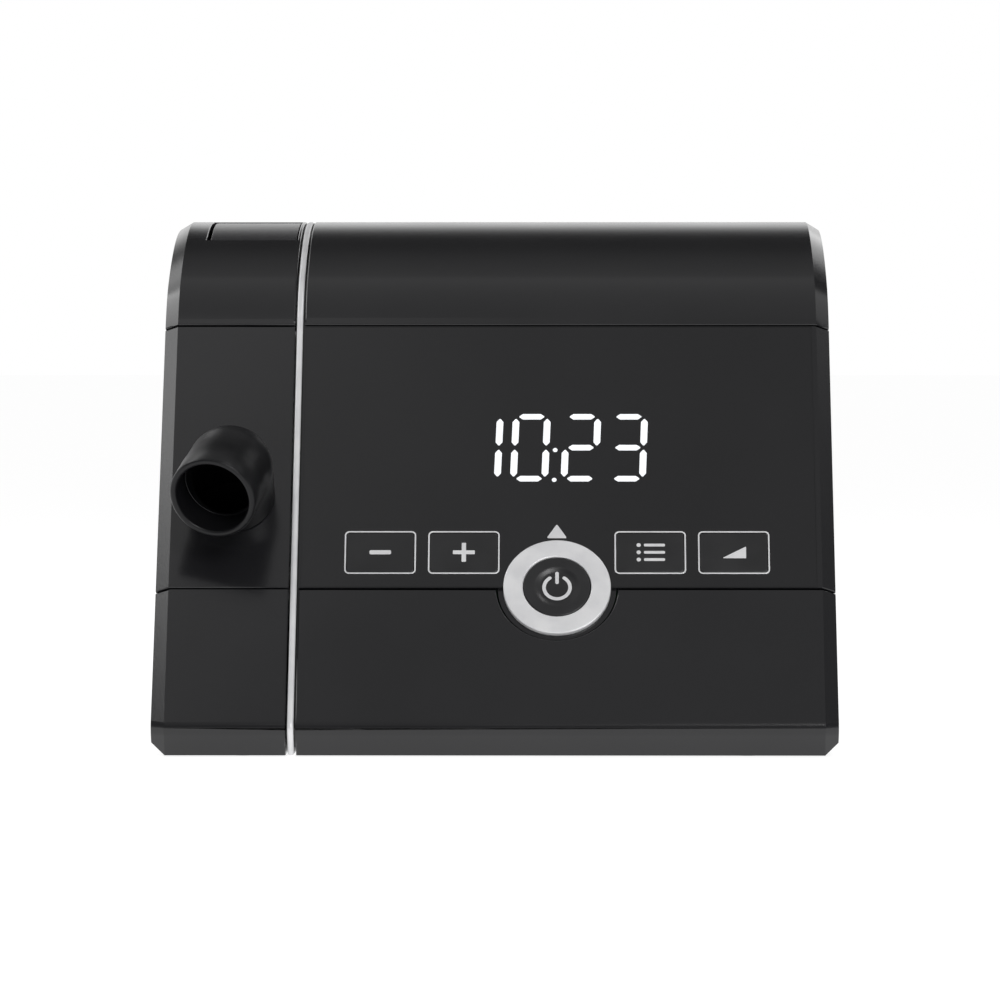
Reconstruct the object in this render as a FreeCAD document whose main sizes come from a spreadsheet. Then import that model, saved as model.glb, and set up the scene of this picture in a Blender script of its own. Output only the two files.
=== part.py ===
import FreeCAD
import Part
import Sketcher
import math
import os

# A bedside breathing-therapy blower: a main unit with a sloping control face, and a side module that
# carries the swivelling hose elbow. +X is the user's right, -Y the front, +Z up, and the origin is on
# the table under the middle of the case. Millimetres and degrees.

DIMENSIONS = {
    # case envelope and side profile
    "width": 170.0, "depth": 180.0, "height": 135.0,
    "wall": 2.4, "skin_rise": 0.3,
    "chin_setback": 5.0, "chin_height": 7.0,
    "face_lean": 32.0, "brow_drop": 28.1,
    "brow_radius": 36.0, "crown_flat": 12.5,
    "rear_radius": 28.0, "heel": 7.0,
    # bevels along the outer sides
    "bevel_width": 3.3, "bevel_depth": 2.0, "foot_cut": 1.2,
    # side module, silver strip and the grooves beside it
    "module_width": 33.3, "strip_width": 1.55, "strip_groove": 0.5,
    "strip_groove_depth": 2.0, "strip_band": 6.0,
    # seams between the shells
    "mid_seam": 40.1, "seam_gap": 0.6, "seam_depth": 3.0,
    "lip_inset": 1.4, "lip_height": 2.0, "lip_play": 0.2,
    # overlay foil
    "foil_thickness": 0.4, "foil_play": 0.1, "foil_margin": 0.5, "foil_side": 4.7,
    # keys
    "key_share": 0.126, "key_height": 11.35, "key_play": 0.1,
    "key_row": 50.55, "key_gap": 4.05, "key_ring_gap": 1.45,
    "key_flange": 1.0, "key_flange_thickness": 1.2, "key_stem_radius": 2.5,
    "key_travel": 0.5, "flange_gap": 0.2,
    # ring and power button
    "ring_x": 15.4, "ring_row": 40.5, "ring_radius": 13.45, "ring_bore": 8.55,
    "ring_proud": 0.5, "ring_chamfer": 0.35, "ring_seat_depth": 1.2, "ring_seat_play": 0.05,
    "button_play": 0.1, "button_hole_play": 0.55, "button_proud": 0.3, "button_dish": 0.5,
    "button_flange": 1.4, "button_travel": 1.0,
    "cuff_radius": 14.8, "cuff_gap": 0.4, "cuff_sink": 0.8,
    # front board, display and switches
    "board_thickness": 1.6, "board_depth": 9.0, "switch_gap": 0.05,
    "front_board_left_air": 9.0, "board_left_air": 13.15, "board_right_air": 13.0,
    "front_board_low": 30.0, "front_board_high": 101.0,
    "front_boss_inset": 3.6, "front_boss_row": 67.0, "boss_radius": 3.0,
    "switch_size": 6.0, "switch_height": 1.0, "switch_pin_radius": 1.6,
    "display_x": 16.8, "display_row": 81.6, "display_width": 50.0, "display_height": 27.0,
    "display_play": 0.3, "display_gap": 0.1,
    # fasteners
    "screw_radius": 1.2, "screw_play": 0.1, "screw_head_radius": 2.4, "screw_head": 1.6,
    "pillar_radius": 4.6, "pillar_front": 45.5, "pillar_rear": 30.0, "pillar_bite": 0.4,
    "upper_boss": 8.0, "counterbore_depth": 3.6, "case_head_radius": 2.9, "case_head": 2.4,
    "module_pillar_front": 29.6, "module_boss": 4.0,
    # feet and rating plate
    "foot_radius": 4.75, "foot_recess": 1.2, "foot_play": 0.05,
    "foot_side": 22.4, "foot_front": 14.0, "foot_rear": 18.0,
    "inner_foot_side": 13.15, "inner_foot_front": 36.0,
    "plate_width": 46.0, "plate_height": 20.0, "plate_thickness": 0.4, "plate_front": 66.0, "plate_x": 16.0,
    # air port between the main unit and the module
    "port_z": 22.0, "duct_bore": 9.5, "duct_wall": 2.4, "duct_slim": 0.3,
    "seal_gap": 0.3, "seal_radius": 13.0,
    # blower
    "blower_x": 28.0, "casing_rear_air": 7.9, "casing_wall": 3.2, "casing_floor": 10.0,
    "casing_top_wall": 2.4, "casing_offset": 3.0, "nozzle_end": 2.0, "inlet_radius": 14.0,
    "damper_radius": 4.0, "damper_inset": 16.0,
    "bearing_tube_wall": 1.1, "bearing_radius": 4.0, "bearing_height": 3.0, "bearing_play": 0.05,
    "shaft_radius": 1.5, "stator_radius": 10.5, "rotor_gap": 0.5, "rotor_wall": 1.5,
    "impeller_room": 9.0, "impeller_disc": 1.2, "blade_height": 4.6, "blade_thickness": 1.2,
    "blade_root": 13.0, "blade_sweep": 4.0, "hub_radius": 4.0, "running_gap": 0.9,
    "volute_screw_inset": 3.4, "volute_screw_length": 14.0,
    # air inlet at the rear
    "door_width": 52.0, "door_height": 40.0, "door_low": 47.0, "door_gap": 0.4,
    "door_slot": 2.4, "door_slot_pitch": 5.0, "door_slot_margin": 8.0,
    "pin_radius": 0.7, "pin_length": 1.6, "pin_play": 0.05,
    "inlet_wall": 1.6, "inlet_depth": 21.6, "filter_play": 0.3,
    "coarse_thickness": 8.0, "fine_thickness": 4.4, "grille_border": 6.0,
    "muffler_side": 26.0, "muffler_front": 26.7, "muffler_top": 80.0,
    "channel_width": 28.0, "channel_low": 52.0, "channel_high": 74.0,
    # main board and what it carries
    "board_rise": 8.0, "main_board_front": 30.0, "main_board_length": 56.0, "board_screw_inset": 4.0,
    "capacitor_radius": 4.0, "capacitor_height": 11.0, "capacitor_pitch": 12.0,
    "capacitor_side": 32.0, "capacitor_front": 32.0,
    "chip_height": 1.6, "driver_size": 10.0, "driver_side": 12.0, "processor_size": 12.0,
    "processor_side": 52.0, "chip_front": 14.0,
    "stage_width": 14.0, "stage_length": 9.0, "stage_height": 6.0, "stage_side": 10.0, "stage_front": 32.0,
    "card_front": 65.0, "card_width": 24.0, "card_length": 32.0, "card_thickness": 2.1,
    "card_play": 0.15, "reader_wall": 0.6, "reader_length": 28.0, "card_inset": 0.2,
    "wall_air": 0.3, "ribbon_width": 20.0, "ribbon_thickness": 0.5, "ribbon_side": 34.15,
    "ribbon_run": 8.0,
    # sockets in the rear wall
    "socket_z": 20.0, "dc_side": 11.15, "dc_size": 11.0, "dc_radius": 3.2, "dc_depth": 10.0,
    "dc_pin_radius": 1.0, "socket_length": 13.0,
    "interface_side": 26.15, "interface_width": 12.0, "interface_height": 5.0, "socket_wall": 1.5,
    # hose elbow
    "elbow_side": 18.5, "elbow_row": 67.0, "elbow_rise": 13.5, "elbow_reach": 16.0,
    "elbow_bend": 61.0, "elbow_swing": 15.5, "elbow_radius": 10.8, "elbow_bore": 9.35,
    "spigot_radius": 11.0, "spigot_length": 9.5, "neck_radius": 10.2,
    "socket_radius": 12.3, "elbow_depth": 8.9, "elbow_play": 0.05, "collar_radius": 11.6,
    "collar_depth": 7.3, "collar_room": 0.2, "socket_depth": 11.0, "opening_play": 0.3,
    "seal_depth": 4.2, "seal_height": 1.8, "seal_width": 1.4,
    # release button
    "release_outer": 9.5, "release_inner": 1.2, "release_start": 78.7, "release_end": 40.0,
    "release_gap": 0.9, "release_side_gap": 0.3, "release_sink": 0.3, "release_thickness": 2.6,
    "release_travel": 2.5, "release_stem": 8.0, "spring_closed": 8.5,
    "shelf_drop": 34.0, "shelf_thickness": 3.0, "shelf_start": 68.0, "shelf_end": 48.0,
    "spring_width": 8.0, "spring_depth": 6.0, "spring_thickness": 0.5,
    # guide pins of the module
    "guide_radius": 3.0, "guide_play": 0.1, "guide_reach": 6.4, "guide_front": 37.4, "guide_rear": 27.6,
}
KEYS = {"key_minus": (-1, 1), "key_plus": (-1, 0), "key_menu": (1, 0), "key_ramp": (1, 1)}
BLADES = 9
CAPACITORS = 3
SPRING_LEAVES = 4
SQUARE = math.degrees(math.pi / 2)
HEEL_HEADING = -135
X_AXIS = FreeCAD.Vector(1, 0, 0)
Y_AXIS = FreeCAD.Vector(0, 1, 0)
Z_AXIS = FreeCAD.Vector(0, 0, 1)

doc = FreeCAD.newDocument("breathing_therapy_unit")
sheet = doc.addObject("Spreadsheet::Sheet", "Sizes")
nodes = []


class Size:
    """A number that keeps the sheet expression it is worked out from."""

    def __init__(self, number, text):
        self.number = number
        self.text = text

    def __float__(self):
        return self.number

    def __add__(self, other):
        other = as_size(other)
        return Size(self.number + other.number, f"({self.text} + {other.text})")

    def __sub__(self, other):
        other = as_size(other)
        return Size(self.number - other.number, f"({self.text} - {other.text})")

    def __mul__(self, other):
        other = as_size(other)
        return Size(self.number * other.number, f"({self.text} * {other.text})")

    def __truediv__(self, other):
        other = as_size(other)
        return Size(self.number / other.number, f"({self.text} / {other.text})")

    def __neg__(self):
        return Size(-self.number, f"(0 - {self.text})")


class Sheet:
    """The sheet's sizes by name: S.width is a Size."""

    def __getattr__(self, name):
        return Size(DIMENSIONS[name], f"{sheet.Name}.{name}")


S = Sheet()


def as_size(value):
    return value if isinstance(value, Size) else Size(float(value), repr(float(value)))


def sine(angle):
    return Size(math.sin(math.radians(angle.number)), f"sin({angle.text} * 1 deg)")


def cosine(angle):
    return Size(math.cos(math.radians(angle.number)), f"cos({angle.text} * 1 deg)")


def fill_sheet():
    for row, (name, value) in enumerate(DIMENSIONS.items(), start=1):
        sheet.set(f"A{row}", name)
        sheet.set(f"B{row}", str(value))
        sheet.setAlias(f"B{row}", name)
    doc.recompute()


# ---------------------------------------------------------------- features with their sizes bound

def bind(item, **sizes):
    for name, size in sizes.items():
        item.setExpression(name, as_size(size).text)
    return item


def place(item, corner, axis=Z_AXIS, angle=0.0):
    """Put an item's own origin at a corner, turned about one axis."""
    turn = as_size(angle)
    base = FreeCAD.Vector(*(float(as_size(value)) for value in corner))
    item.Placement = FreeCAD.Placement(base, FreeCAD.Rotation(axis, turn.number))
    for letter, value in zip("xyz", corner):
        item.setExpression(f"Placement.Base.{letter}", as_size(value).text)
    if turn.number:
        item.setExpression("Placement.Rotation.Angle", turn.text)
    return item


def box(name, low, high):
    """A block between two corners."""
    item = doc.addObject("Part::Box", name)
    length, width, height = (as_size(b) - a for a, b in zip(low, high))
    return place(bind(item, Length=length, Width=width, Height=height), low)


def rod(name, centre, radius, length, along="z"):
    """A round rod from its centre point along +X, +Y or +Z."""
    item = bind(doc.addObject("Part::Cylinder", name), Radius=radius, Height=length)
    axis, angle = {"x": (Y_AXIS, 90), "y": (X_AXIS, -90), "z": (Z_AXIS, 0)}[along]
    return place(item, centre, axis, angle)


def ball(name, centre, radius):
    return place(bind(doc.addObject("Part::Sphere", name), Radius=radius), centre)


def fuse(name, items):
    item = doc.addObject("Part::MultiFuse", name)
    item.Shapes = items
    return item


def cut(name, base, tools):
    item = doc.addObject("Part::Cut", name)
    item.Base = base
    item.Tool = tools[0] if len(tools) == 1 else fuse(name + "_tools", tools)
    return item


def common(name, first, second):
    item = doc.addObject("Part::MultiCommon", name)
    item.Shapes = [first, second]
    return item


def group(name, items):
    item = doc.addObject("Part::Compound", name)
    item.Links = items
    return item


def node(item, name):
    """Mark an object as one of the finished pieces."""
    item.Label = name
    nodes.append(item)
    return item


def sketch_on(body, role, name):
    sketch = body.newObject("Sketcher::SketchObject", name)
    plane = [part for part in body.Origin.OriginFeatures if part.Role == role][0]
    sketch.AttachmentSupport = [(plane, "")]
    sketch.MapMode = "FlatFace"
    return sketch


def pin_point(sketch, element, end, point):
    """Hold one end of an element at a bound place."""
    for kind, value in zip(("DistanceX", "DistanceY"), point):
        value = as_size(value)
        row = sketch.addConstraint(Sketcher.Constraint(kind, -1, 1, element, end, value.number))
        sketch.setExpression(f"Constraints[{row}]", value.text)


def outline(body, role, points, name):
    """A closed outline of straight lines."""
    sketch = sketch_on(body, role, name)
    corners = [FreeCAD.Vector(float(as_size(u)), float(as_size(v)), 0) for u, v in points]
    count = len(corners)
    for index, corner in enumerate(corners):
        sketch.addGeometry(Part.LineSegment(corner, corners[(index + 1) % count]), False)
    for index in range(count):
        sketch.addConstraint(Sketcher.Constraint("Coincident", index, 2, (index + 1) % count, 1))
    for index, point in enumerate(points):
        pin_point(sketch, index, 1, point)
    return sketch


def padded(name, role, points, length, midplane=False):
    """A body padded from an outline."""
    body = doc.addObject("PartDesign::Body", name)
    pad = body.newObject("PartDesign::Pad", name + "_pad")
    pad.Profile = outline(body, role, points, name + "_outline")
    pad.Midplane = midplane
    bind(pad, Length=length)
    body.Tip = pad
    return body


def turned(name, points):
    """A body revolved about its own Z axis from (radius, height) points."""
    body = doc.addObject("PartDesign::Body", name)
    sketch = outline(body, "XZ_Plane", points, name + "_section")
    turn = body.newObject("PartDesign::Revolution", name + "_turn")
    turn.Profile = sketch
    turn.ReferenceAxis = (sketch, ["V_Axis"])
    turn.Angle = 360
    body.Tip = turn
    return body


# ---------------------------------------------------------------- the sloping face

def on_face(column, row, rise):
    """The point at a column and a row of the face, raised along the face's outward normal."""
    y = -S.depth / 2 + row * sine(S.face_lean) - rise * cosine(S.face_lean)
    z = S.chin_height + row * cosine(S.face_lean) + rise * sine(S.face_lean)
    return column, y, z


def face_placed(item, column, row, rise):
    """Lay an item on the face: its X stays, its Y runs up the face, its Z points outwards."""
    corner = on_face(column, as_size(row), as_size(rise))
    return place(item, corner, X_AXIS, as_size(SQUARE) - S.face_lean)


def face_box(name, low, high):
    item = doc.addObject("Part::Box", name)
    length, width, height = (as_size(b) - a for a, b in zip(low, high))
    return face_placed(bind(item, Length=length, Width=width, Height=height), *low)


def face_rod(name, column, row, low, high, radius):
    item = doc.addObject("Part::Cylinder", name)
    return face_placed(bind(item, Radius=radius, Height=as_size(high) - low), column, row, low)


# ---------------------------------------------------------------- case forms from the side profile

def heading_vector(heading):
    """A unit vector in the side view at an angle above +Y."""
    angle = math.radians(heading)
    return FreeCAD.Vector(0, math.cos(angle), math.sin(angle))


def inward(heading):
    """The unit normal that points into the case from an edge run at this heading."""
    angle = math.radians(heading)
    return FreeCAD.Vector(0, math.sin(angle), -math.cos(angle))


def crossing(first, first_heading, second, second_heading):
    """Where two lines of the side view meet."""
    a = heading_vector(first_heading)
    b = heading_vector(second_heading)
    gap = second - first
    along = (gap.y * b.z - gap.z * b.y) / (a.y * b.z - a.z * b.y)
    return first + a * along


def crown_arc_sizes(brow, face, crest_y):
    """The crown arc's first heading and its radius, so that the brow arc runs on into it and it ends
    level at the crest."""
    turn = math.radians(face)
    rise = S.height.number - brow.z - S.brow_radius.number * (1 - math.cos(turn))
    run = crest_y - brow.y - S.brow_radius.number * math.sin(turn)
    heading = 2 * math.atan2(rise, run)
    return math.degrees(heading), S.brow_radius.number + run / math.sin(heading)


def profile(x, inset, floor_inset):
    """The closed side profile at x, every edge moved inwards by inset and the bottom by floor_inset."""
    def point(y, z):
        return FreeCAD.Vector(x, float(y), float(z))
    face = SQUARE - S.face_lean.number
    chin = SQUARE + math.degrees(math.atan2(S.chin_setback.number, S.chin_height.number - S.skin_rise.number))
    heel = HEEL_HEADING
    foot = point(-S.depth / 2, S.chin_height)
    brow = foot + heading_vector(face) * FACE_LENGTH.number
    rear_centre = point(S.depth / 2 - S.rear_radius, S.height - S.rear_radius)
    crown, crown_radius = crown_arc_sizes(brow, face, rear_centre.y - S.crown_flat.number)
    brow_centre = brow + inward(face) * S.brow_radius.number
    ridge = brow_centre - inward(crown) * S.brow_radius.number
    crown_centre = ridge + inward(crown) * crown_radius
    rear_line = point(S.depth / 2 - inset, 0)
    floor_line = point(0, S.skin_rise + floor_inset)
    heel_line = point(S.depth / 2 - S.heel, S.skin_rise) + inward(heel) * inset
    chin_line = foot + inward(chin) * inset
    face_line = foot + inward(face) * inset
    brow_arc = [brow_centre - inward(angle) * (S.brow_radius.number - inset)
                for angle in (face, (face + crown) / 2, crown)]
    crown_arc = [crown_centre - inward(angle) * (crown_radius - inset) for angle in (crown, crown / 2, 0)]
    rear_arc = [rear_centre - inward(angle) * (S.rear_radius.number - inset) for angle in (0, -45, -90)]
    chin_low = crossing(floor_line, 0, chin_line, chin)
    chin_high = crossing(chin_line, chin, face_line, face)
    heel_high = crossing(rear_line, 90, heel_line, heel)
    heel_low = crossing(heel_line, heel, floor_line, 0)
    edges = [Part.LineSegment(chin_low, chin_high), Part.LineSegment(chin_high, brow_arc[0]),
             Part.Arc(*brow_arc), Part.Arc(*crown_arc), Part.LineSegment(crown_arc[2], rear_arc[0]),
             Part.Arc(*rear_arc), Part.LineSegment(rear_arc[2], heel_high),
             Part.LineSegment(heel_high, heel_low), Part.LineSegment(heel_low, chin_low)]
    return Part.Wire([edge.toShape() for edge in edges])


def form(name, left, right, inset, bevel_left=False, bevel_right=False):
    """A solid with the case's side profile between two planes, bevelled where an end is an outer side.

    The outermost form is cut a little deeper along the foot of its bevels.
    """
    inset = float(inset)
    low = float(left) + inset
    high = float(right) - inset
    width = S.bevel_width.number
    sections = []
    if bevel_left:
        sections.append((low, True))
    sections.append((low + width if bevel_left else low, False))
    sections.append((high - width if bevel_right else high, False))
    if bevel_right:
        sections.append((high, True))
    wires = []
    for x, end in sections:
        side = inset + (S.bevel_depth.number if end else 0)
        floor = side + (S.foot_cut.number if end and not inset else 0)
        wires.append(profile(x, side, floor))
    item = doc.addObject("Part::Feature", name)
    item.Shape = Part.makeLoft(wires, True, True)
    return item


def below_seam(name, row, shift):
    """Everything below a seam: square to the face for seam_depth, then level to the rear."""
    shift = as_size(shift)
    _, out_y, out_z = on_face(as_size(0), row, S.seam_depth * 2)
    _, in_y, in_z = on_face(as_size(0), row, -S.seam_depth)
    points = [(out_y, out_z + shift), (in_y, in_z + shift), (S.depth, in_z + shift), (S.depth, -S.height),
              (-S.depth, -S.height), (-S.depth, out_z + shift)]
    return padded(name, "YZ_Plane", points, S.width * 2, midplane=True)


# ---------------------------------------------------------------- layout worked out from the sizes

FACE_LENGTH = (S.height - S.brow_drop - S.chin_height) / cosine(S.face_lean)
HALF = S.width / 2
FRONT = -S.depth / 2
REAR = S.depth / 2
MODULE_RIGHT = S.module_width - HALF
STRIP_LEFT = MODULE_RIGHT + S.strip_groove
STRIP_RIGHT = STRIP_LEFT + S.strip_width
MAIN_LEFT = STRIP_RIGHT + S.strip_groove
KEY_WIDTH = (HALF - MAIN_LEFT) * S.key_share
KEY_INNER = S.ring_radius + S.key_ring_gap + KEY_WIDTH / 2
KEY_PITCH = KEY_WIDTH + S.key_gap
FLOOR_TOP = S.skin_rise + S.wall
INNER_LEFT = MAIN_LEFT + S.wall
INNER_RIGHT = HALF - S.wall
INNER_REAR = REAR - S.wall
_, _, SEAM_Z = on_face(S.width, S.mid_seam, -S.seam_depth)
ELBOW_X = S.elbow_side - HALF
_, ELBOW_Y, ELBOW_Z = on_face(ELBOW_X, S.elbow_row, as_size(0))
PORT_Y = ELBOW_Y + (ELBOW_Z - S.port_z) * cosine(S.face_lean) / sine(S.face_lean)
DUCT_RADIUS = S.duct_bore + S.duct_wall
CASING_TOP = S.port_z + DUCT_RADIUS
CASING_FRONT = PORT_Y - S.duct_bore - S.casing_wall
CASING_RADIUS = (INNER_REAR - S.casing_rear_air - CASING_FRONT) / 2
CASING_Y = CASING_FRONT + CASING_RADIUS
IMPELLER_RADIUS = CASING_RADIUS - S.impeller_room
NOZZLE_REACH = CASING_RADIUS + S.nozzle_end
BLOWER_Y = CASING_Y + S.casing_offset
PILLAR_LEFT = INNER_LEFT + S.pillar_radius - S.pillar_bite
PILLAR_RIGHT = INNER_RIGHT - S.pillar_radius + S.pillar_bite
MODULE_PILLAR_X = (MODULE_RIGHT - HALF) / 2
MODULE_PILLAR_LEFT = S.wall + S.pillar_radius - S.pillar_bite - HALF
PILLAR_REAR = REAR - S.pillar_rear
MAIN_PILLARS = [(x, y) for x in (PILLAR_LEFT, PILLAR_RIGHT) for y in (FRONT + S.pillar_front, PILLAR_REAR)]
MODULE_PILLARS = [(MODULE_PILLAR_X, FRONT + S.module_pillar_front), (MODULE_PILLAR_LEFT, PILLAR_REAR)]
FOOT_X = HALF - S.foot_side
INNER_FOOT_X = MAIN_LEFT + S.inner_foot_side
FOOT_FRONT = FRONT + S.foot_front
FOOT_REAR = REAR - S.foot_rear
MAIN_FEET = [(FOOT_X, FOOT_FRONT), (FOOT_X, FOOT_REAR),
             (INNER_FOOT_X, FRONT + S.inner_foot_front), (INNER_FOOT_X, FOOT_REAR)]
MODULE_FEET = [(-FOOT_X, FOOT_FRONT), (-FOOT_X, FOOT_REAR)]
FRONT_BOARD_LEFT = MAIN_LEFT + S.front_board_left_air
BOARD_LEFT = MAIN_LEFT + S.board_left_air
BOARD_RIGHT = HALF - S.board_right_air
BOARD_FRONT = FRONT + S.main_board_front
BOARD_REAR = BOARD_FRONT + S.main_board_length
CARD_Y = FRONT + S.card_front
GUIDES = (PORT_Y - S.guide_front, PORT_Y + S.guide_rear)
DC_X = MAIN_LEFT + S.dc_side
INTERFACE_X = MAIN_LEFT + S.interface_side
SHELF_TOP = S.height - S.shelf_drop
STEM_FOOT = SHELF_TOP + S.spring_closed + S.release_travel
SHELF_FRONT = REAR - S.shelf_start
SHELF_REAR = REAR - S.shelf_end
RELEASE_LEFT = S.release_outer - HALF
RELEASE_RIGHT = MODULE_RIGHT - S.release_inner
RELEASE_FRONT = REAR - S.release_start
RELEASE_REAR = REAR - S.release_end
PILOT_RADIUS = S.screw_radius + S.screw_play
HOLE_RADIUS = PILOT_RADIUS + S.screw_play
CAP_DEPTH = S.wall + S.flange_gap
KEY_FLANGE_LOW = -CAP_DEPTH - S.key_flange_thickness
BOARD_TOP = -S.board_depth
BOARD_LOW = BOARD_TOP - S.board_thickness
DOOR_X = S.blower_x
DOOR_TOP = S.door_low + S.door_height
DOOR_AXIS_Z = DOOR_TOP - S.wall / 2
DOOR_AXIS_Y = REAR - S.wall / 2
INLET_FRONT = INNER_REAR - S.inlet_depth
MAIN_BOARD_TOP = S.board_rise + S.board_thickness
READER_TOP = MAIN_BOARD_TOP + S.reader_wall * 2 + S.card_thickness + S.card_play * 2
CARD_LOW = MAIN_BOARD_TOP + S.reader_wall + S.card_play


def key_centre(name):
    """A key's column, from its side of the ring and its place counted from the ring."""
    side, place_from_ring = KEYS[name]
    return S.ring_x + (KEY_INNER + KEY_PITCH * place_from_ring) * side


# ---------------------------------------------------------------- shells

def cut_shells(prefix, left, right, bevel_left, bevel_right):
    """The lower, middle and top shells of one half of the case, with a tongue at each seam."""
    def layer(name, inset):
        return form(f"{prefix}_{name}", left, right, inset, bevel_left, bevel_right)
    inner = layer("inner", S.wall)
    hollow = cut(f"{prefix}_hollow", layer("outer", 0), [inner])
    tongue = cut(f"{prefix}_tongue_ring", layer("lip", S.lip_inset), [layer("lip_inner", S.wall)])
    thick_ring = layer("rabbet", S.lip_inset - S.lip_play)
    shells = {}
    half_gap = S.seam_gap / 2
    rest = hollow
    for name, row in (("lower", S.mid_seam), ("middle", FACE_LENGTH)):
        stem = f"{prefix}_{name}"
        under = below_seam(stem + "_under", row, -half_gap)
        over = below_seam(stem + "_over", row, half_gap)
        lip = below_seam(stem + "_lip", row, S.lip_height)
        room = below_seam(stem + "_room", row, S.lip_height + S.lip_play)
        raised = cut(stem + "_raised", common(stem + "_lip_part", tongue, lip), [under])
        shells[name] = fuse(stem + "_cast", [common(stem + "_part", rest, under), raised])
        rabbet = common(stem + "_rabbet", thick_ring, room)
        rest = cut(stem + "_rest", rest, [over, rabbet])
    shells["top"] = rest
    return shells


def screw(name, x, y, head_low, head_radius, head, shank):
    """A screw that points up, its head at the bottom."""
    return fuse(name, [rod(name + "_head", (x, y, head_low), head_radius, head),
                       rod(name + "_shank", (x, y, head_low + head), S.screw_radius, shank)])


def pillars(prefix, places, reach):
    """Screw pillars below and above the middle seam, their holes, and the screws in them."""
    low_top = SEAM_Z + S.lip_height
    high_foot = low_top + S.lip_play
    seat = S.skin_rise + S.counterbore_depth
    low, high, low_holes, high_holes, screws = [], [], [], [], []
    for index, (x, y) in enumerate(places):
        tag = f"{prefix}_{index}"
        low.append(rod(tag + "_low", (x, y, FLOOR_TOP - S.wall / 2), S.pillar_radius,
                       low_top - FLOOR_TOP + S.wall / 2))
        high.append(rod(tag + "_high", (x, y, high_foot), S.pillar_radius, reach))
        low_holes.append(rod(tag + "_bore", (x, y, -S.wall), HOLE_RADIUS, low_top + S.wall * 2))
        low_holes.append(rod(tag + "_counterbore", (x, y, -S.wall),
                             S.case_head_radius + S.screw_play, seat + S.wall))
        high_holes.append(rod(tag + "_pilot", (x, y, high_foot - S.wall), PILOT_RADIUS,
                              reach + S.wall / 2))
        screws.append(screw(tag + "_screw", x, y, seat - S.case_head, S.case_head_radius, S.case_head,
                            high_foot + reach - S.wall - seat))
    return low, high, low_holes, high_holes, screws


def foot_recesses(prefix, places):
    return [rod(f"{prefix}_recess_{index}", (x, y, -S.wall), S.foot_radius + S.foot_play,
                S.skin_rise + S.foot_recess + S.wall) for index, (x, y) in enumerate(places)]


def make_feet(name, places):
    feet = [rod(f"{name}_{index}", (x, y, 0), S.foot_radius, S.skin_rise + S.foot_recess)
            for index, (x, y) in enumerate(places)]
    node(group(name, feet), name)


def make_main_shells():
    shells = cut_shells("main", MAIN_LEFT, HALF, False, True)
    low, high, low_holes, high_holes, screws = pillars("main_pillar", MAIN_PILLARS, S.upper_boss)
    make_lower_housing(shells["lower"], low, low_holes)
    make_upper_housing(shells["middle"], high, high_holes)
    node(shells["top"], "top_cover")
    node(group("housing_screw_group", screws), "housing_screws")
    make_feet("main_feet", MAIN_FEET)


def board_corners():
    inset = S.board_screw_inset
    return [(x, y) for x in (BOARD_LEFT + inset, BOARD_RIGHT - inset)
            for y in (BOARD_FRONT + inset, BOARD_REAR - inset)]


def make_lower_housing(shell, low, low_holes):
    bosses = [rod(f"board_boss_{index}", (x, y, FLOOR_TOP - S.wall / 2), S.boss_radius,
                  S.board_rise - FLOOR_TOP + S.wall / 2) for index, (x, y) in enumerate(board_corners())]
    holes = low_holes + foot_recesses("main", MAIN_FEET)
    holes += [rod(f"board_pilot_{index}", (x, y, FLOOR_TOP), PILOT_RADIUS, S.board_rise)
              for index, (x, y) in enumerate(board_corners())]
    holes.append(face_rod("notch", S.ring_x, S.ring_row, -S.wall * 4, S.wall, S.cuff_radius + S.cuff_gap))
    holes.append(rod("port_hole", (MAIN_LEFT - S.wall, PORT_Y, S.port_z), S.duct_bore, S.wall * 3, "x"))
    holes += [rod(f"guide_hole_{index}", (MAIN_LEFT - S.wall, y, S.port_z), S.guide_radius + S.guide_play,
                  S.wall * 3, "x") for index, y in enumerate(GUIDES)]
    slot = S.card_width / 2 + S.card_play * 2
    holes.append(box("card_slot", (INNER_RIGHT - S.wall, CARD_Y - slot, CARD_LOW - S.card_play * 2),
                     (HALF + S.wall, CARD_Y + slot, CARD_LOW + S.card_thickness + S.card_play * 2)))
    holes.append(rod("dc_hole", (DC_X, INNER_REAR - S.wall, S.socket_z), S.dc_radius + S.socket_wall,
                     S.wall * 3, "y"))
    half_width = S.interface_width / 2
    half_height = S.interface_height / 2
    holes.append(box("interface_hole",
                     (INTERFACE_X - half_width, INNER_REAR - S.wall, S.socket_z - half_height),
                     (INTERFACE_X + half_width, REAR + S.wall, S.socket_z + half_height)))
    holes.append(box("plate_recess", plate_corner(-1, -S.wall),
                     plate_corner(1, S.skin_rise + S.plate_thickness)))
    solid = fuse("lower_housing_solid", [shell] + low + bosses)
    node(cut("lower_housing_cut", solid, holes), "lower_housing")


def plate_corner(side, z):
    return (S.plate_x + S.plate_width / 2 * side, FRONT + S.plate_front + S.plate_height / 2 * side, z)


def foil_edges(margin):
    """The foil's left, bottom, right and top edges, moved outwards by a margin."""
    return (MAIN_LEFT + S.foil_margin - margin, S.mid_seam + S.foil_margin - margin,
            HALF - S.foil_side + margin, FACE_LENGTH - S.foil_margin + margin)


def face_bosses():
    inset = S.front_boss_inset
    columns = (FRONT_BOARD_LEFT + inset, BOARD_RIGHT - inset)
    return [(x, row) for x in columns for row in (S.front_boss_row, S.front_board_high - inset)]


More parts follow.
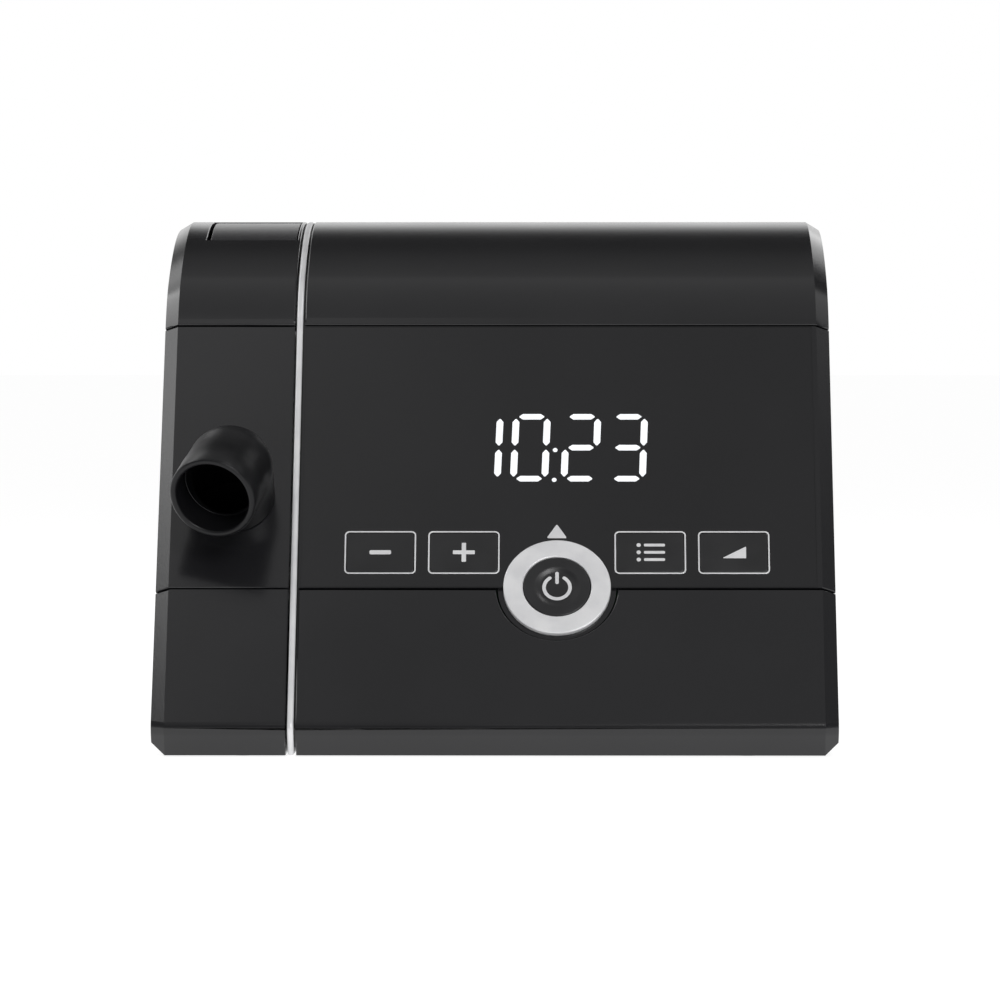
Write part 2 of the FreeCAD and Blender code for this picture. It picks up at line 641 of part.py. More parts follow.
def make_upper_housing(shell, high, high_holes):
    cuff = face_rod("cuff", S.ring_x, S.ring_row, -S.wall, -S.cuff_sink, S.cuff_radius)
    bosses = [face_rod(f"face_boss_{index}", x, row, BOARD_TOP, -S.wall / 2, S.boss_radius)
              for index, (x, row) in enumerate(face_bosses())]
    left, bottom, right, top = foil_edges(S.foil_play)
    holes = high_holes + [face_box("foil_recess", (left, bottom, -S.foil_thickness), (right, top, S.wall))]
    holes += [key_hole("housing_" + name, name, -S.wall * 2) for name in KEYS]
    holes.append(face_rod("ring_seat", S.ring_x, S.ring_row, -S.ring_seat_depth, S.wall,
                          S.ring_radius + S.ring_seat_play))
    holes.append(face_rod("button_hole", S.ring_x, S.ring_row, -S.wall * 2, S.wall,
                          S.ring_bore + S.button_hole_play))
    holes.append(face_box("display_window", display_corner(-1, S.display_play, -S.wall * 2),
                          display_corner(1, S.display_play, 0)))
    holes += [face_rod(f"face_pilot_{index}", x, row, BOARD_TOP - S.wall, -S.wall, PILOT_RADIUS)
              for index, (x, row) in enumerate(face_bosses())]
    gap = S.door_gap
    holes.append(box("door_opening", (DOOR_X - S.door_width / 2 - gap, INNER_REAR - S.wall, S.door_low - gap),
                     (DOOR_X + S.door_width / 2 + gap, REAR + S.wall, DOOR_TOP + gap)))
    pin_span = S.door_width + S.pin_length * 2 + S.pin_play * 2
    holes.append(rod("pin_holes", (DOOR_X - pin_span / 2, DOOR_AXIS_Y, DOOR_AXIS_Z),
                     S.pin_radius + S.pin_play, pin_span, "x"))
    solid = fuse("upper_housing_solid", [shell, cuff] + high + bosses)
    node(cut("upper_housing_cut", solid, holes), "upper_housing")


# ---------------------------------------------------------------- front face pieces

def key_hole(prefix, name, depth):
    half_width = KEY_WIDTH / 2 + S.key_play
    half_height = S.key_height / 2 + S.key_play
    centre = key_centre(name)
    return face_box(prefix, (centre - half_width, S.key_row - half_height, depth),
                    (centre + half_width, S.key_row + half_height, S.wall))


def display_corner(side, margin, depth):
    return (S.display_x + (S.display_width / 2 + margin) * side,
            S.display_row + (S.display_height / 2 + margin) * side, depth)


def make_front_foil():
    left, bottom, right, top = foil_edges(0)
    sheet_of_foil = face_box("foil_sheet", (left, bottom, -S.foil_thickness), (right, top, 0))
    holes = [key_hole("foil_" + name, name, -S.wall) for name in KEYS]
    holes.append(face_rod("foil_ring_hole", S.ring_x, S.ring_row, -S.wall, S.wall,
                          S.ring_radius + S.ring_seat_play))
    node(cut("foil_cut", sheet_of_foil, holes), "front_foil")


def make_key(name):
    """A key: flush cap, retaining flange behind the panel, and a stem to its switch."""
    centre = key_centre(name)

    def plate(part, margin, low, high):
        half_width = KEY_WIDTH / 2 + margin
        half_height = S.key_height / 2 + margin
        return face_box(f"{name}_{part}", (centre - half_width, S.key_row - half_height, low),
                        (centre + half_width, S.key_row + half_height, high))
    cap = plate("cap", 0, -CAP_DEPTH, 0)
    rim = plate("rim", S.key_flange, KEY_FLANGE_LOW, -CAP_DEPTH)
    switch_top = BOARD_TOP + S.switch_height + S.key_travel
    stem = face_rod(name + "_stem", centre, S.key_row, switch_top + S.key_travel + S.switch_gap,
                    KEY_FLANGE_LOW, S.key_stem_radius)
    node(fuse(name + "_solid", [cap, rim, stem]), name)


def make_power_button():
    """A round button with a dished top, turned about the face's normal."""
    radius = S.ring_bore - S.button_play
    flange = S.ring_bore + S.button_flange
    switch_top = BOARD_TOP + S.switch_height + S.key_travel
    stem_low = switch_top + S.button_travel + S.switch_gap
    points = [(0, stem_low), (S.key_stem_radius, stem_low), (S.key_stem_radius, KEY_FLANGE_LOW),
              (flange, KEY_FLANGE_LOW), (flange, -CAP_DEPTH), (radius, -CAP_DEPTH),
              (radius, S.button_proud - S.ring_chamfer), (radius - S.ring_chamfer, S.button_proud),
              (radius - S.ring_chamfer * 2, S.button_proud),
              (radius / 2, S.button_proud - S.button_dish), (0, S.button_proud - S.button_dish)]
    button = turned("power_button_body", points)
    node(face_placed(button, S.ring_x, S.ring_row, 0), "power_button")


def make_button_ring():
    top = S.ring_proud
    edge = S.ring_chamfer
    points = [(S.ring_bore, -S.ring_seat_depth), (S.ring_radius, -S.ring_seat_depth),
              (S.ring_radius, top - edge), (S.ring_radius - edge, top),
              (S.ring_bore + edge, top), (S.ring_bore, top - edge)]
    node(face_placed(turned("button_ring_body", points), S.ring_x, S.ring_row, 0), "button_ring")


def make_front_board():
    board = face_box("front_board_sheet", (FRONT_BOARD_LEFT, S.front_board_low, BOARD_LOW),
                     (BOARD_RIGHT, S.front_board_high, BOARD_TOP))
    holes = [face_rod(f"front_board_hole_{index}", x, row, BOARD_LOW - S.wall, BOARD_TOP + S.wall,
                      HOLE_RADIUS) for index, (x, row) in enumerate(face_bosses())]
    node(cut("front_board_cut", board, holes), "front_board")
    screws = []
    for index, (x, row) in enumerate(face_bosses()):
        head = face_rod(f"front_screw_head_{index}", x, row, BOARD_LOW - S.screw_head, BOARD_LOW,
                        S.screw_head_radius)
        shank = face_rod(f"front_screw_shank_{index}", x, row, BOARD_LOW, -S.wall * 2, S.screw_radius)
        screws.append(fuse(f"front_screw_{index}", [head, shank]))
    node(group("front_screw_group", screws), "front_board_screws")


def make_tact_switches():
    places = [(key_centre(name), S.key_row) for name in KEYS] + [(S.ring_x, S.ring_row)]
    half = S.switch_size / 2
    top = BOARD_TOP + S.switch_height
    switches = []
    for index, (x, row) in enumerate(places):
        block = face_box(f"switch_block_{index}", (x - half, row - half, BOARD_TOP),
                         (x + half, row + half, top))
        pin = face_rod(f"switch_pin_{index}", x, row, top, top + S.key_travel, S.switch_pin_radius)
        switches.append(fuse(f"switch_{index}", [block, pin]))
    node(group("switch_group", switches), "tact_switches")


def make_display_module():
    node(face_box("display_block", display_corner(-1, 0, BOARD_TOP),
                  display_corner(1, 0, -S.foil_thickness - S.display_gap)), "display_module")


def make_trim_strip():
    """The silver band round the case, with a hidden foot that seats on the main unit."""
    band = cut("strip_band_ring", form("strip_outer", STRIP_LEFT, STRIP_RIGHT, 0),
               [hole_form("strip_hole", S.strip_band)])
    seat_outer = inset_slice("strip_seat_outer", S.strip_groove_depth)
    seat = cut("strip_seat", seat_outer, [hole_form("strip_seat_hole", S.strip_band)])
    node(fuse("strip_solid", [band, seat]), "trim_strip")


def slice_form(name, left, right, inset):
    """A slice of the case's profile, inset all round, between two planes."""
    item = doc.addObject("Part::Feature", name)
    wires = [profile(float(x), float(inset), float(inset)) for x in (left, right)]
    item.Shape = Part.makeLoft(wires, True, True)
    return item


def hole_form(name, inset):
    return slice_form(name, MODULE_RIGHT, INNER_LEFT, inset)


def inset_slice(name, inset):
    return slice_form(name, STRIP_LEFT, MAIN_LEFT, inset)


# ---------------------------------------------------------------- boards and sockets

def make_main_board():
    """The main board with its capacitors, power stage and ribbon connector soldered on."""
    rise = MAIN_BOARD_TOP
    board = box("main_board_sheet", (BOARD_LEFT, BOARD_FRONT, S.board_rise),
                (BOARD_RIGHT, BOARD_REAR, rise))
    parts = [board]
    for index in range(CAPACITORS):
        x = BOARD_LEFT + S.capacitor_side + S.capacitor_pitch * index
        parts.append(rod(f"capacitor_{index}", (x, BOARD_FRONT + S.capacitor_front, rise),
                         S.capacitor_radius, S.capacitor_height))
    for name, side, front, *size in (
            ("driver_chip", S.driver_side, S.chip_front, S.driver_size, S.driver_size, S.chip_height),
            ("processor", S.processor_side, S.chip_front, S.processor_size, S.processor_size, S.chip_height),
            ("power_stage", S.stage_side, S.stage_front, S.stage_width, S.stage_length, S.stage_height)):
        corner = (BOARD_LEFT + side, BOARD_FRONT + front, rise)
        parts.append(box(name, corner, [a + b for a, b in zip(corner, size)]))
    holes = [rod(f"main_board_hole_{index}", (x, y, S.board_rise - S.wall), HOLE_RADIUS, S.wall * 3)
             for index, (x, y) in enumerate(board_corners())]
    node(cut("main_board_cut", fuse("main_board_solid", parts), holes), "main_board")
    screws = []
    for index, (x, y) in enumerate(board_corners()):
        head = rod(f"board_screw_head_{index}", (x, y, rise), S.screw_head_radius, S.screw_head)
        shank = rod(f"board_screw_shank_{index}", (x, y, FLOOR_TOP + S.wall / 2), S.screw_radius,
                    rise - FLOOR_TOP - S.wall / 2)
        screws.append(fuse(f"board_screw_{index}", [head, shank]))
    node(group("board_screw_group", screws), "main_board_screws")


def make_ribbon_cable():
    """The flat cable from the foot of the front board down to the main board."""
    _, back_y, back_z = on_face(as_size(0), S.front_board_low + S.board_screw_inset, BOARD_LOW)
    thick = S.ribbon_thickness
    foot_y = back_y + S.ribbon_run
    points = [(back_y, back_z), (foot_y, back_z), (foot_y, MAIN_BOARD_TOP), (foot_y - thick, MAIN_BOARD_TOP),
              (foot_y - thick, back_z - thick), (back_y, back_z - thick)]
    ribbon = padded("ribbon", "YZ_Plane", points, S.ribbon_width, midplane=True)
    place(ribbon, (MAIN_LEFT + S.ribbon_side, 0, 0))
    keep = face_box("ribbon_limit", (BOARD_LEFT, as_size(0), BOARD_LOW),
                    (BOARD_RIGHT, FACE_LENGTH, S.wall))
    node(cut("ribbon_cut", ribbon, [keep]), "ribbon_cable")


def make_sd_reader_and_card():
    half = S.card_width / 2
    wall = S.reader_wall
    play = S.card_play
    right = INNER_RIGHT - S.wall_air
    left = right - S.reader_length
    cage = box("reader_cage", (left, CARD_Y - half - play - wall, MAIN_BOARD_TOP),
               (right, CARD_Y + half + play + wall, READER_TOP))
    card_right = HALF - S.card_inset
    card_left = card_right - S.card_length
    room = box("reader_room", (left - S.wall, CARD_Y - half - play, MAIN_BOARD_TOP + wall),
               (HALF, CARD_Y + half + play, READER_TOP - wall))
    node(cut("reader_cut", cage, [room]), "sd_reader")
    node(box("card_block", (card_left, CARD_Y - half, CARD_LOW),
             (card_right, CARD_Y + half, CARD_LOW + S.card_thickness)), "sd_card")


def make_sockets():
    half = S.dc_size / 2
    back = INNER_REAR - S.socket_length
    block = box("dc_block", (DC_X - half, back, S.socket_z - half),
                (DC_X + half, INNER_REAR, S.socket_z + half))
    collar = rod("dc_collar", (DC_X, INNER_REAR, S.socket_z), S.dc_radius + S.socket_wall - S.filter_play,
                 S.wall - S.card_inset, "y")
    mouth = rod("dc_mouth", (DC_X, INNER_REAR + S.wall - S.dc_depth, S.socket_z), S.dc_radius,
                S.dc_depth + S.wall, "y")
    pin = rod("dc_pin", (DC_X, INNER_REAR + S.wall - S.dc_depth - S.card_inset, S.socket_z), S.dc_pin_radius,
              S.dc_depth - S.wall, "y")
    node(fuse("dc_inlet_solid", [cut("dc_cut", fuse("dc_body", [block, collar]), [mouth]), pin]), "dc_inlet")
    half_width = S.interface_width / 2
    half_height = S.interface_height / 2
    wall = S.socket_wall
    shell = box("interface_block", (INTERFACE_X - half_width - wall, back, S.socket_z - half_height - wall),
                (INTERFACE_X + half_width + wall, INNER_REAR, S.socket_z + half_height + wall))
    cavity = box("interface_cavity", (INTERFACE_X - half_width, back + wall, S.socket_z - half_height),
                 (INTERFACE_X + half_width, REAR, S.socket_z + half_height))
    node(cut("interface_cut", shell, [cavity]), "interface_port")


def make_rating_plate():
    low = plate_corner(-1, S.skin_rise)
    high = plate_corner(1, S.skin_rise + S.plate_thickness)
    inset = S.foil_play
    node(box("plate", (low[0] + inset, low[1] + inset, low[2]), (high[0] - inset, high[1] - inset, high[2])),
         "rating_plate")


# ---------------------------------------------------------------- blower

def casing_screws():
    """Places of the screws that hold the two casing halves, on the quarters clear of the nozzle."""
    reach = (CASING_RADIUS - S.volute_screw_inset) * math.sqrt(0.5)
    return [(S.blower_x + reach * side_x, CASING_Y + reach * side_y)
            for side_x, side_y in ((1, 1), (-1, 1), (1, -1))]


def make_volute():
    x = S.blower_x
    floor = S.casing_floor
    outer = rod("casing_outer", (x, CASING_Y, floor), CASING_RADIUS, CASING_TOP - floor)
    nozzle = rod("nozzle_outer", (x - NOZZLE_REACH, PORT_Y, S.port_z), DUCT_RADIUS, NOZZLE_REACH, "x")
    lugs = [rod(f"lug_{index}", (lug_x, lug_y, floor), S.boss_radius + S.screw_play, CASING_TOP - floor)
            for index, (lug_x, lug_y) in enumerate(casing_screws())]
    cavity = rod("casing_cavity", (x, CASING_Y, floor + S.casing_top_wall), CASING_RADIUS - S.casing_wall,
                 CASING_TOP - floor - S.casing_top_wall * 2)
    bore = rod("nozzle_bore", (x - NOZZLE_REACH - S.wall, PORT_Y, S.port_z), S.duct_bore,
               NOZZLE_REACH + S.wall, "x")
    inlet = rod("inlet_hole", (x, BLOWER_Y, CASING_TOP - S.wall * 2), S.inlet_radius, S.wall * 3)
    hollow = cut("casing_hollow", fuse("casing_solid", [outer, nozzle]), [cavity, bore, inlet])
    posts = [common(f"post_{index}", lug, outer) for index, lug in enumerate(lugs)]
    whole = fuse("casing_whole", [hollow] + posts)
    holes = [rod(f"casing_pilot_{index}", (sx, sy, CASING_TOP - S.volute_screw_length), PILOT_RADIUS,
                 S.volute_screw_length + S.wall) for index, (sx, sy) in enumerate(casing_screws())]
    drilled = cut("casing_drilled", whole, holes)
    lower_half = box("casing_half", (-HALF, FRONT, 0), (HALF, REAR, S.port_z))
    tube_low = floor + S.casing_top_wall
    tube_radius = S.bearing_radius + S.bearing_tube_wall
    tube = cut("bearing_tube", rod("tube_outer", (x, BLOWER_Y, floor), tube_radius, tube_top() - floor),
               [rod("tube_bore", (x, BLOWER_Y, tube_low), S.bearing_radius, tube_top())])
    lower = fuse("volute_lower_solid", [common("casing_low", drilled, lower_half), tube])
    node(lower, "volute_lower")
    node(cut("volute_upper_cut", drilled, [lower_half]), "volute_upper")
    screws = [rod(f"casing_screw_shank_{index}", (sx, sy, CASING_TOP - S.volute_screw_length + S.screw_play),
                  S.screw_radius, S.volute_screw_length - S.screw_play)
              for index, (sx, sy) in enumerate(casing_screws())]
    heads = [rod(f"casing_screw_head_{index}", (sx, sy, CASING_TOP), S.screw_head_radius, S.screw_head)
             for index, (sx, sy) in enumerate(casing_screws())]
    pairs = [fuse(f"casing_screw_{index}", pair) for index, pair in enumerate(zip(screws, heads))]
    node(group("casing_screw_group", pairs), "volute_screws")


def tube_top():
    return disc_low() - S.running_gap


def disc_low():
    return CASING_TOP - S.casing_top_wall - S.running_gap - S.blade_height - S.impeller_disc


def make_motor():
    x = S.blower_x
    low = S.casing_floor + S.casing_top_wall
    tube_radius = S.bearing_radius + S.bearing_tube_wall
    rings = []
    for index, z in enumerate((low + S.running_gap, tube_top() - S.bearing_height - S.running_gap)):
        ring = rod(f"bearing_{index}", (x, BLOWER_Y, z), S.bearing_radius, S.bearing_height)
        hole = rod(f"bearing_hole_{index}", (x, BLOWER_Y, z - S.wall), S.shaft_radius + S.bearing_play,
                   S.bearing_height + S.wall * 2)
        rings.append(cut(f"bearing_ring_{index}", ring, [hole]))
    node(group("bearing_group", rings), "motor_bearings")
    stator = rod("stator_outer", (x, BLOWER_Y, low), S.stator_radius, disc_low() - low - S.running_gap * 2)
    node(cut("stator_cut", stator, [rod("stator_bore", (x, BLOWER_Y, low - S.wall), tube_radius, S.height)]),
         "motor_stator")
    shaft_low = low + S.running_gap / 2
    node(rod("shaft_rod", (x, BLOWER_Y, shaft_low), S.shaft_radius, hub_top() - shaft_low), "motor_shaft")


def hub_top():
    return disc_low() + S.impeller_disc + S.blade_height - S.running_gap


def make_impeller():
    """The fan wheel: magnet cup, disc and hub turned in one, with swept blades round it."""
    low = disc_low()
    top = low + S.impeller_disc
    cup = S.stator_radius + S.rotor_gap
    cup_low = S.casing_floor + S.casing_top_wall + S.running_gap
    points = [(S.shaft_radius, low), (cup, low), (cup, cup_low), (cup + S.rotor_wall, cup_low),
              (cup + S.rotor_wall, low), (IMPELLER_RADIUS, low), (IMPELLER_RADIUS, top), (S.hub_radius, top),
              (S.hub_radius, hub_top()), (S.shaft_radius, hub_top())]
    body = turned("impeller_body", points)
    half = S.blade_thickness / 2
    tip = IMPELLER_RADIUS - S.running_gap
    blade = body.newObject("PartDesign::Pad", "blade_pad")
    corners = [(S.blade_root, -half), (tip, S.blade_sweep - half),
               (tip, S.blade_sweep + half), (S.blade_root, half)]
    sketch = outline(body, "XY_Plane", corners, "blade_outline")
    sketch.setExpression("AttachmentOffset.Base.z", top.text)
    blade.Profile = sketch
    bind(blade, Length=S.blade_height)
    body.Tip = blade
    doc.recompute()
    ring = body.newObject("PartDesign::PolarPattern", "blade_ring")
    ring.Originals = [blade]
    ring.Axis = ([part for part in body.Origin.OriginFeatures if part.Role == "Z_Axis"][0], [""])
    ring.Angle = 360
    ring.Occurrences = BLADES
    body.Tip = ring
    node(place(body, (S.blower_x, BLOWER_Y, 0)), "impeller")


def make_blower_dampers():
    spread = CASING_RADIUS - S.damper_inset
    places = [(S.blower_x + spread * sx, CASING_Y + spread * sy) for sx in (-1, 1) for sy in (-1, 1)]
    dampers = [rod(f"damper_{index}", (x, y, FLOOR_TOP), S.damper_radius, S.casing_floor - FLOOR_TOP)
               for index, (x, y) in enumerate(places)]
    node(group("damper_group", dampers), "blower_dampers")


def make_outlet_duct():
    nozzle_end = S.blower_x - NOZZLE_REACH
    tube = rod("outlet_tube", (INNER_LEFT, PORT_Y, S.port_z), DUCT_RADIUS, nozzle_end - INNER_LEFT, "x")
    bore = rod("outlet_bore", (INNER_LEFT - S.wall, PORT_Y, S.port_z), S.duct_bore, HALF, "x")
    node(cut("outlet_cut", tube, [bore]), "outlet_duct")
    seal_left = MODULE_RIGHT + S.seal_gap
    seal = rod("seal_disc", (seal_left, PORT_Y, S.port_z), S.seal_radius, MAIN_LEFT - seal_left, "x")
    hole = rod("seal_bore", (seal_left - S.wall, PORT_Y, S.port_z), S.duct_bore, HALF, "x")
    node(cut("seal_cut", seal, [hole]), "port_seal")


# ---------------------------------------------------------------- air inlet

def make_inlet():
    half_width = S.door_width / 2 + S.door_gap
    low = S.door_low - S.door_gap
    high = DOOR_TOP + S.door_gap
    wall = S.inlet_wall
    tray = box("inlet_outer", (DOOR_X - half_width - wall, INLET_FRONT, low - wall),
               (DOOR_X + half_width + wall, INNER_REAR, high + wall))
    room = box("inlet_room", (DOOR_X - half_width, INLET_FRONT + wall, low),
               (DOOR_X + half_width, REAR, high))
    border = S.grille_border
    grille = box("inlet_mouth", (DOOR_X - half_width + border, INLET_FRONT - wall, low + border),
                 (DOOR_X + half_width - border, REAR, high - border))
    node(cut("inlet_cut", tray, [room, grille]), "inlet_box")
    play = S.filter_play
    fine_front = INLET_FRONT + wall
    coarse_front = fine_front + S.fine_thickness + play
    for name, front, thickness in (("fine_filter", fine_front, S.fine_thickness),
                                   ("coarse_filter", coarse_front, S.coarse_thickness)):
        node(box(name + "_pad", (DOOR_X - half_width + play, front, low + play),
                 (DOOR_X + half_width - play, front + thickness, high - play)), name)


def make_filter_door():
    """A slotted door that hangs from two pins along its rounded top edge."""
    left = DOOR_X - S.door_width / 2
    right = left + S.door_width
    leaf = box("door_leaf", (left, INNER_REAR, S.door_low), (right, REAR, DOOR_AXIS_Z))
    knuckle = rod("door_knuckle", (left, DOOR_AXIS_Y, DOOR_AXIS_Z), S.wall / 2, S.door_width, "x")
    pins = rod("door_pins", (left - S.pin_length, DOOR_AXIS_Y, DOOR_AXIS_Z), S.pin_radius,
               S.door_width + S.pin_length * 2, "x")
    slots = []
    count = int((float(S.door_height) - float(S.door_slot_margin) * 2) / float(S.door_slot_pitch)) + 1
    for index in range(count):
        z = S.door_low + S.door_slot_margin + S.door_slot_pitch * index
        slots.append(box(f"door_slot_{index}", (left + S.door_slot_margin, INNER_REAR - S.wall, z),
                         (right - S.door_slot_margin, REAR + S.wall, z + S.door_slot)))
    solid = fuse("door_solid", [leaf, knuckle, pins])
    node(cut("door_cut", solid, slots), "filter_door")


def make_inlet_muffler():
    """Foam that leads the air from the filters down into the blower's eye."""
    block = box("muffler_block", (S.blower_x - S.muffler_side, BLOWER_Y - S.muffler_front, CASING_TOP),
                (S.blower_x + S.muffler_side, INLET_FRONT, S.muffler_top))
    shaft = rod("muffler_shaft", (S.blower_x, BLOWER_Y, CASING_TOP - S.wall), S.inlet_radius,
                S.channel_high - CASING_TOP + S.wall)
    half = S.channel_width / 2
    channel = box("muffler_channel", (S.blower_x - half, BLOWER_Y, S.channel_low),
                  (S.blower_x + half, INLET_FRONT + S.wall, S.channel_high))
    clear = [rod(f"muffler_clear_{index}", (x, y, CASING_TOP - S.wall),
                 S.screw_head_radius + S.screw_play * 3, S.wall + S.screw_head * 2)
             for index, (x, y) in enumerate(casing_screws())]
    node(cut("muffler_cut", block, [shaft, channel] + clear), "inlet_muffler")


# ---------------------------------------------------------------- side module

def elbow_rod(name, low, high, radius):
    """A rod on the elbow's swivel axis, between two heights above the face."""
    return face_rod(name, ELBOW_X, S.elbow_row, low, high, radius)


def make_module_shells():
    shells = cut_shells("module", -HALF, MODULE_RIGHT, True, False)
    low, high, low_holes, high_holes, screws = pillars("module_pillar", MODULE_PILLARS, S.module_boss)
    guides = [rod(f"guide_pin_{index}", (MODULE_RIGHT - S.wall, y, S.port_z), S.guide_radius,
                  S.guide_reach + S.wall, "x") for index, y in enumerate(GUIDES)]
    holes = low_holes + foot_recesses("module", MODULE_FEET)
    holes.append(rod("module_port_hole", (MODULE_RIGHT - S.wall * 2, PORT_Y, S.port_z), S.duct_bore,
                     S.wall * 3, "x"))
    node(cut("module_lower_cut", fuse("module_lower_solid", [shells["lower"]] + low + guides), holes),
         "module_lower_shell")
    make_module_front(shells["middle"], high, high_holes)
    make_module_top(shells["top"])
    node(group("module_screw_group", screws), "module_screws")
    make_feet("module_feet", MODULE_FEET)


def make_module_front(shell, high, high_holes):
    left = S.wall - HALF
    right = MODULE_RIGHT - S.wall
    shelf = box("spring_shelf", (left - S.wall / 2, SHELF_FRONT, SHELF_TOP - S.shelf_thickness),
                (right + S.wall / 2, SHELF_REAR, SHELF_TOP))
    opening = elbow_rod("elbow_opening", -S.wall * 2, S.wall, S.neck_radius + S.opening_play)
    node(cut("module_front_cut", fuse("module_front_solid", [shell, shelf] + high), high_holes + [opening]),
         "module_front_shell")


def stem_centre():
    return (RELEASE_LEFT + RELEASE_RIGHT) / 2, (SHELF_FRONT + SHELF_REAR) / 2


def make_module_top(shell):
    gap = S.release_side_gap
    opening = box("release_opening", (RELEASE_LEFT - S.release_gap, RELEASE_FRONT - gap, STEM_FOOT),
                  (RELEASE_RIGHT + gap, RELEASE_REAR + gap, S.height * 2))
    node(cut("module_top_cut", shell, [opening]), "module_top_cover")


def make_release_button():
    """A button that follows the top's curve, with a stem down to its spring."""
    top = slice_form("release_top", -HALF, MODULE_RIGHT, S.release_sink)
    under = slice_form("release_under", -HALF - S.wall, MODULE_RIGHT + S.wall,
                       S.release_sink + S.release_thickness)
    plan = box("release_plan", (RELEASE_LEFT, RELEASE_FRONT, STEM_FOOT),
               (RELEASE_RIGHT, RELEASE_REAR, S.height * 2))
    plate = cut("release_plate", common("release_slab", top, plan), [under])
    x, y = stem_centre()
    half = S.release_stem / 2
    stem_block = box("release_stem_block", (x - half, y - half, STEM_FOOT), (x + half, y + half, S.height))
    stem = common("release_stem_solid", stem_block, top)
    node(fuse("release_solid", [plate, stem]), "release_button")


def make_release_spring():
    """A folded leaf spring between the shelf and the stem: flat ends joined by slanted leaves."""
    x, y = stem_centre()
    half = S.spring_width / 2
    thick = S.spring_thickness
    step = (STEM_FOOT - SHELF_TOP - thick) / SPRING_LEAVES
    leaves = []
    for index in range(SPRING_LEAVES):
        side = half if index % 2 else -half
        low = SHELF_TOP + step * index
        high = low + step
        leaves.append([(side, low), (-side, high), (-side, high + thick), (side, low + thick)])
    for low in (SHELF_TOP, STEM_FOOT - thick):
        leaves.append([(-half, low), (half, low), (half, low + thick), (-half, low + thick)])
    pads = [padded(f"spring_leaf_{index}", "XZ_Plane", points, S.spring_depth, midplane=True)
            for index, points in enumerate(leaves)]
    for pad in pads:
        place(pad, (x, y, 0))
    node(fuse("spring_solid", pads), "release_spring")


def make_elbow_socket():
    """The collar in the module that the elbow turns in, with room for the seal and the elbow's rim."""
    outer = elbow_rod("socket_outer", -S.socket_depth, -S.wall, S.socket_radius)
    play = S.elbow_play
    neck = elbow_rod("socket_neck", -S.elbow_depth - S.collar_room, S.wall, S.neck_radius + play)
    groove = elbow_rod("socket_groove", -S.seal_depth - S.seal_height, -S.seal_depth,
                       S.neck_radius + play + S.seal_width)
    pocket = elbow_rod("socket_pocket", -S.elbow_depth - S.collar_room, -S.collar_depth + S.collar_room,
                       S.collar_radius + S.collar_room)
    bore = elbow_rod("socket_bore", -S.socket_depth - S.wall, S.wall, S.duct_bore)
    node(cut("socket_cut", outer, [neck, groove, pocket, bore]), "elbow_socket")
    ring = elbow_rod("elbow_seal_outer", -S.seal_depth - S.seal_height, -S.seal_depth,
                     S.neck_radius + play + S.seal_width)
    hole = elbow_rod("elbow_seal_hole", -S.socket_depth, S.wall, S.neck_radius + play)
    node(cut("elbow_seal_cut", ring, [hole]), "elbow_seal")


def make_module_duct():
    """The tube from the elbow's socket, straight back and down to the port in the module's wall."""
    length = (ELBOW_Z - S.port_z) / sine(S.face_lean)
    corner = (ELBOW_X, PORT_Y, S.port_z)
    wall_x = MODULE_RIGHT - S.wall
    reach = wall_x - ELBOW_X
    outer = fuse("duct_outer", [elbow_rod("duct_run", -length, -S.socket_depth, DUCT_RADIUS - S.duct_slim),
                                ball("duct_turn", corner, DUCT_RADIUS - S.duct_slim),
                                rod("duct_stub", corner, DUCT_RADIUS - S.duct_slim, reach, "x")])
    inner = fuse("duct_inner", [elbow_rod("duct_run_bore", -length, S.wall, S.duct_bore),
                                ball("duct_turn_bore", corner, S.duct_bore),
                                rod("duct_stub_bore", corner, S.duct_bore, reach + S.wall, "x")])
    node(cut("duct_cut", outer, [inner]), "module_duct")


def elbow_direction():
    """The spigot's direction: bent from the face's outward normal and swung towards the left."""
    down_share = sine(S.elbow_bend) * cosine(S.elbow_swing)
    x = -(sine(S.elbow_bend) * sine(S.elbow_swing))
    y = -(cosine(S.elbow_bend) * cosine(S.face_lean)) - down_share * sine(S.face_lean)
    z = cosine(S.elbow_bend) * sine(S.face_lean) - down_share * cosine(S.face_lean)
    return x, y, z


def spigot_rod(name, start, length, radius):
    """A rod along the spigot, starting some way from the elbow's corner."""
    corner = on_face(ELBOW_X, S.elbow_row, S.elbow_rise)
    direction = elbow_direction()
    base = [as_size(a) + b * start for a, b in zip(corner, direction)]
    item = bind(doc.addObject("Part::Cylinder", name), Radius=radius, Height=length)
    place(item, base)
    vector = FreeCAD.Vector(*(float(value) for value in direction))
    item.Placement = FreeCAD.Placement(item.Placement.Base, FreeCAD.Rotation(Z_AXIS, vector))
    return item


def make_outlet_elbow():
    corner = on_face(ELBOW_X, S.elbow_row, S.elbow_rise)
    plain = S.elbow_reach - S.spigot_length
    outer = fuse("elbow_outer", [
        elbow_rod("elbow_neck", -S.elbow_depth, S.elbow_rise, S.neck_radius),
        elbow_rod("elbow_shoulder", S.opening_play, S.elbow_rise, S.elbow_radius),
        elbow_rod("elbow_rim", -S.elbow_depth, -S.collar_depth, S.collar_radius),
        ball("elbow_knee", corner, S.elbow_radius),
        spigot_rod("elbow_arm", 0, plain, S.elbow_radius),
        spigot_rod("elbow_spigot", plain, S.spigot_length, S.spigot_radius)])
    inner = fuse("elbow_inner", [
        elbow_rod("elbow_neck_bore", -S.elbow_depth - S.wall, S.elbow_rise, S.elbow_bore),
        ball("elbow_knee_bore", corner, S.elbow_bore),
        spigot_rod("elbow_arm_bore", 0, S.elbow_reach + S.wall, S.elbow_bore)])
    node(cut("elbow_cut", outer, [inner]), "outlet_elbow")


# ---------------------------------------------------------------- build, test and write

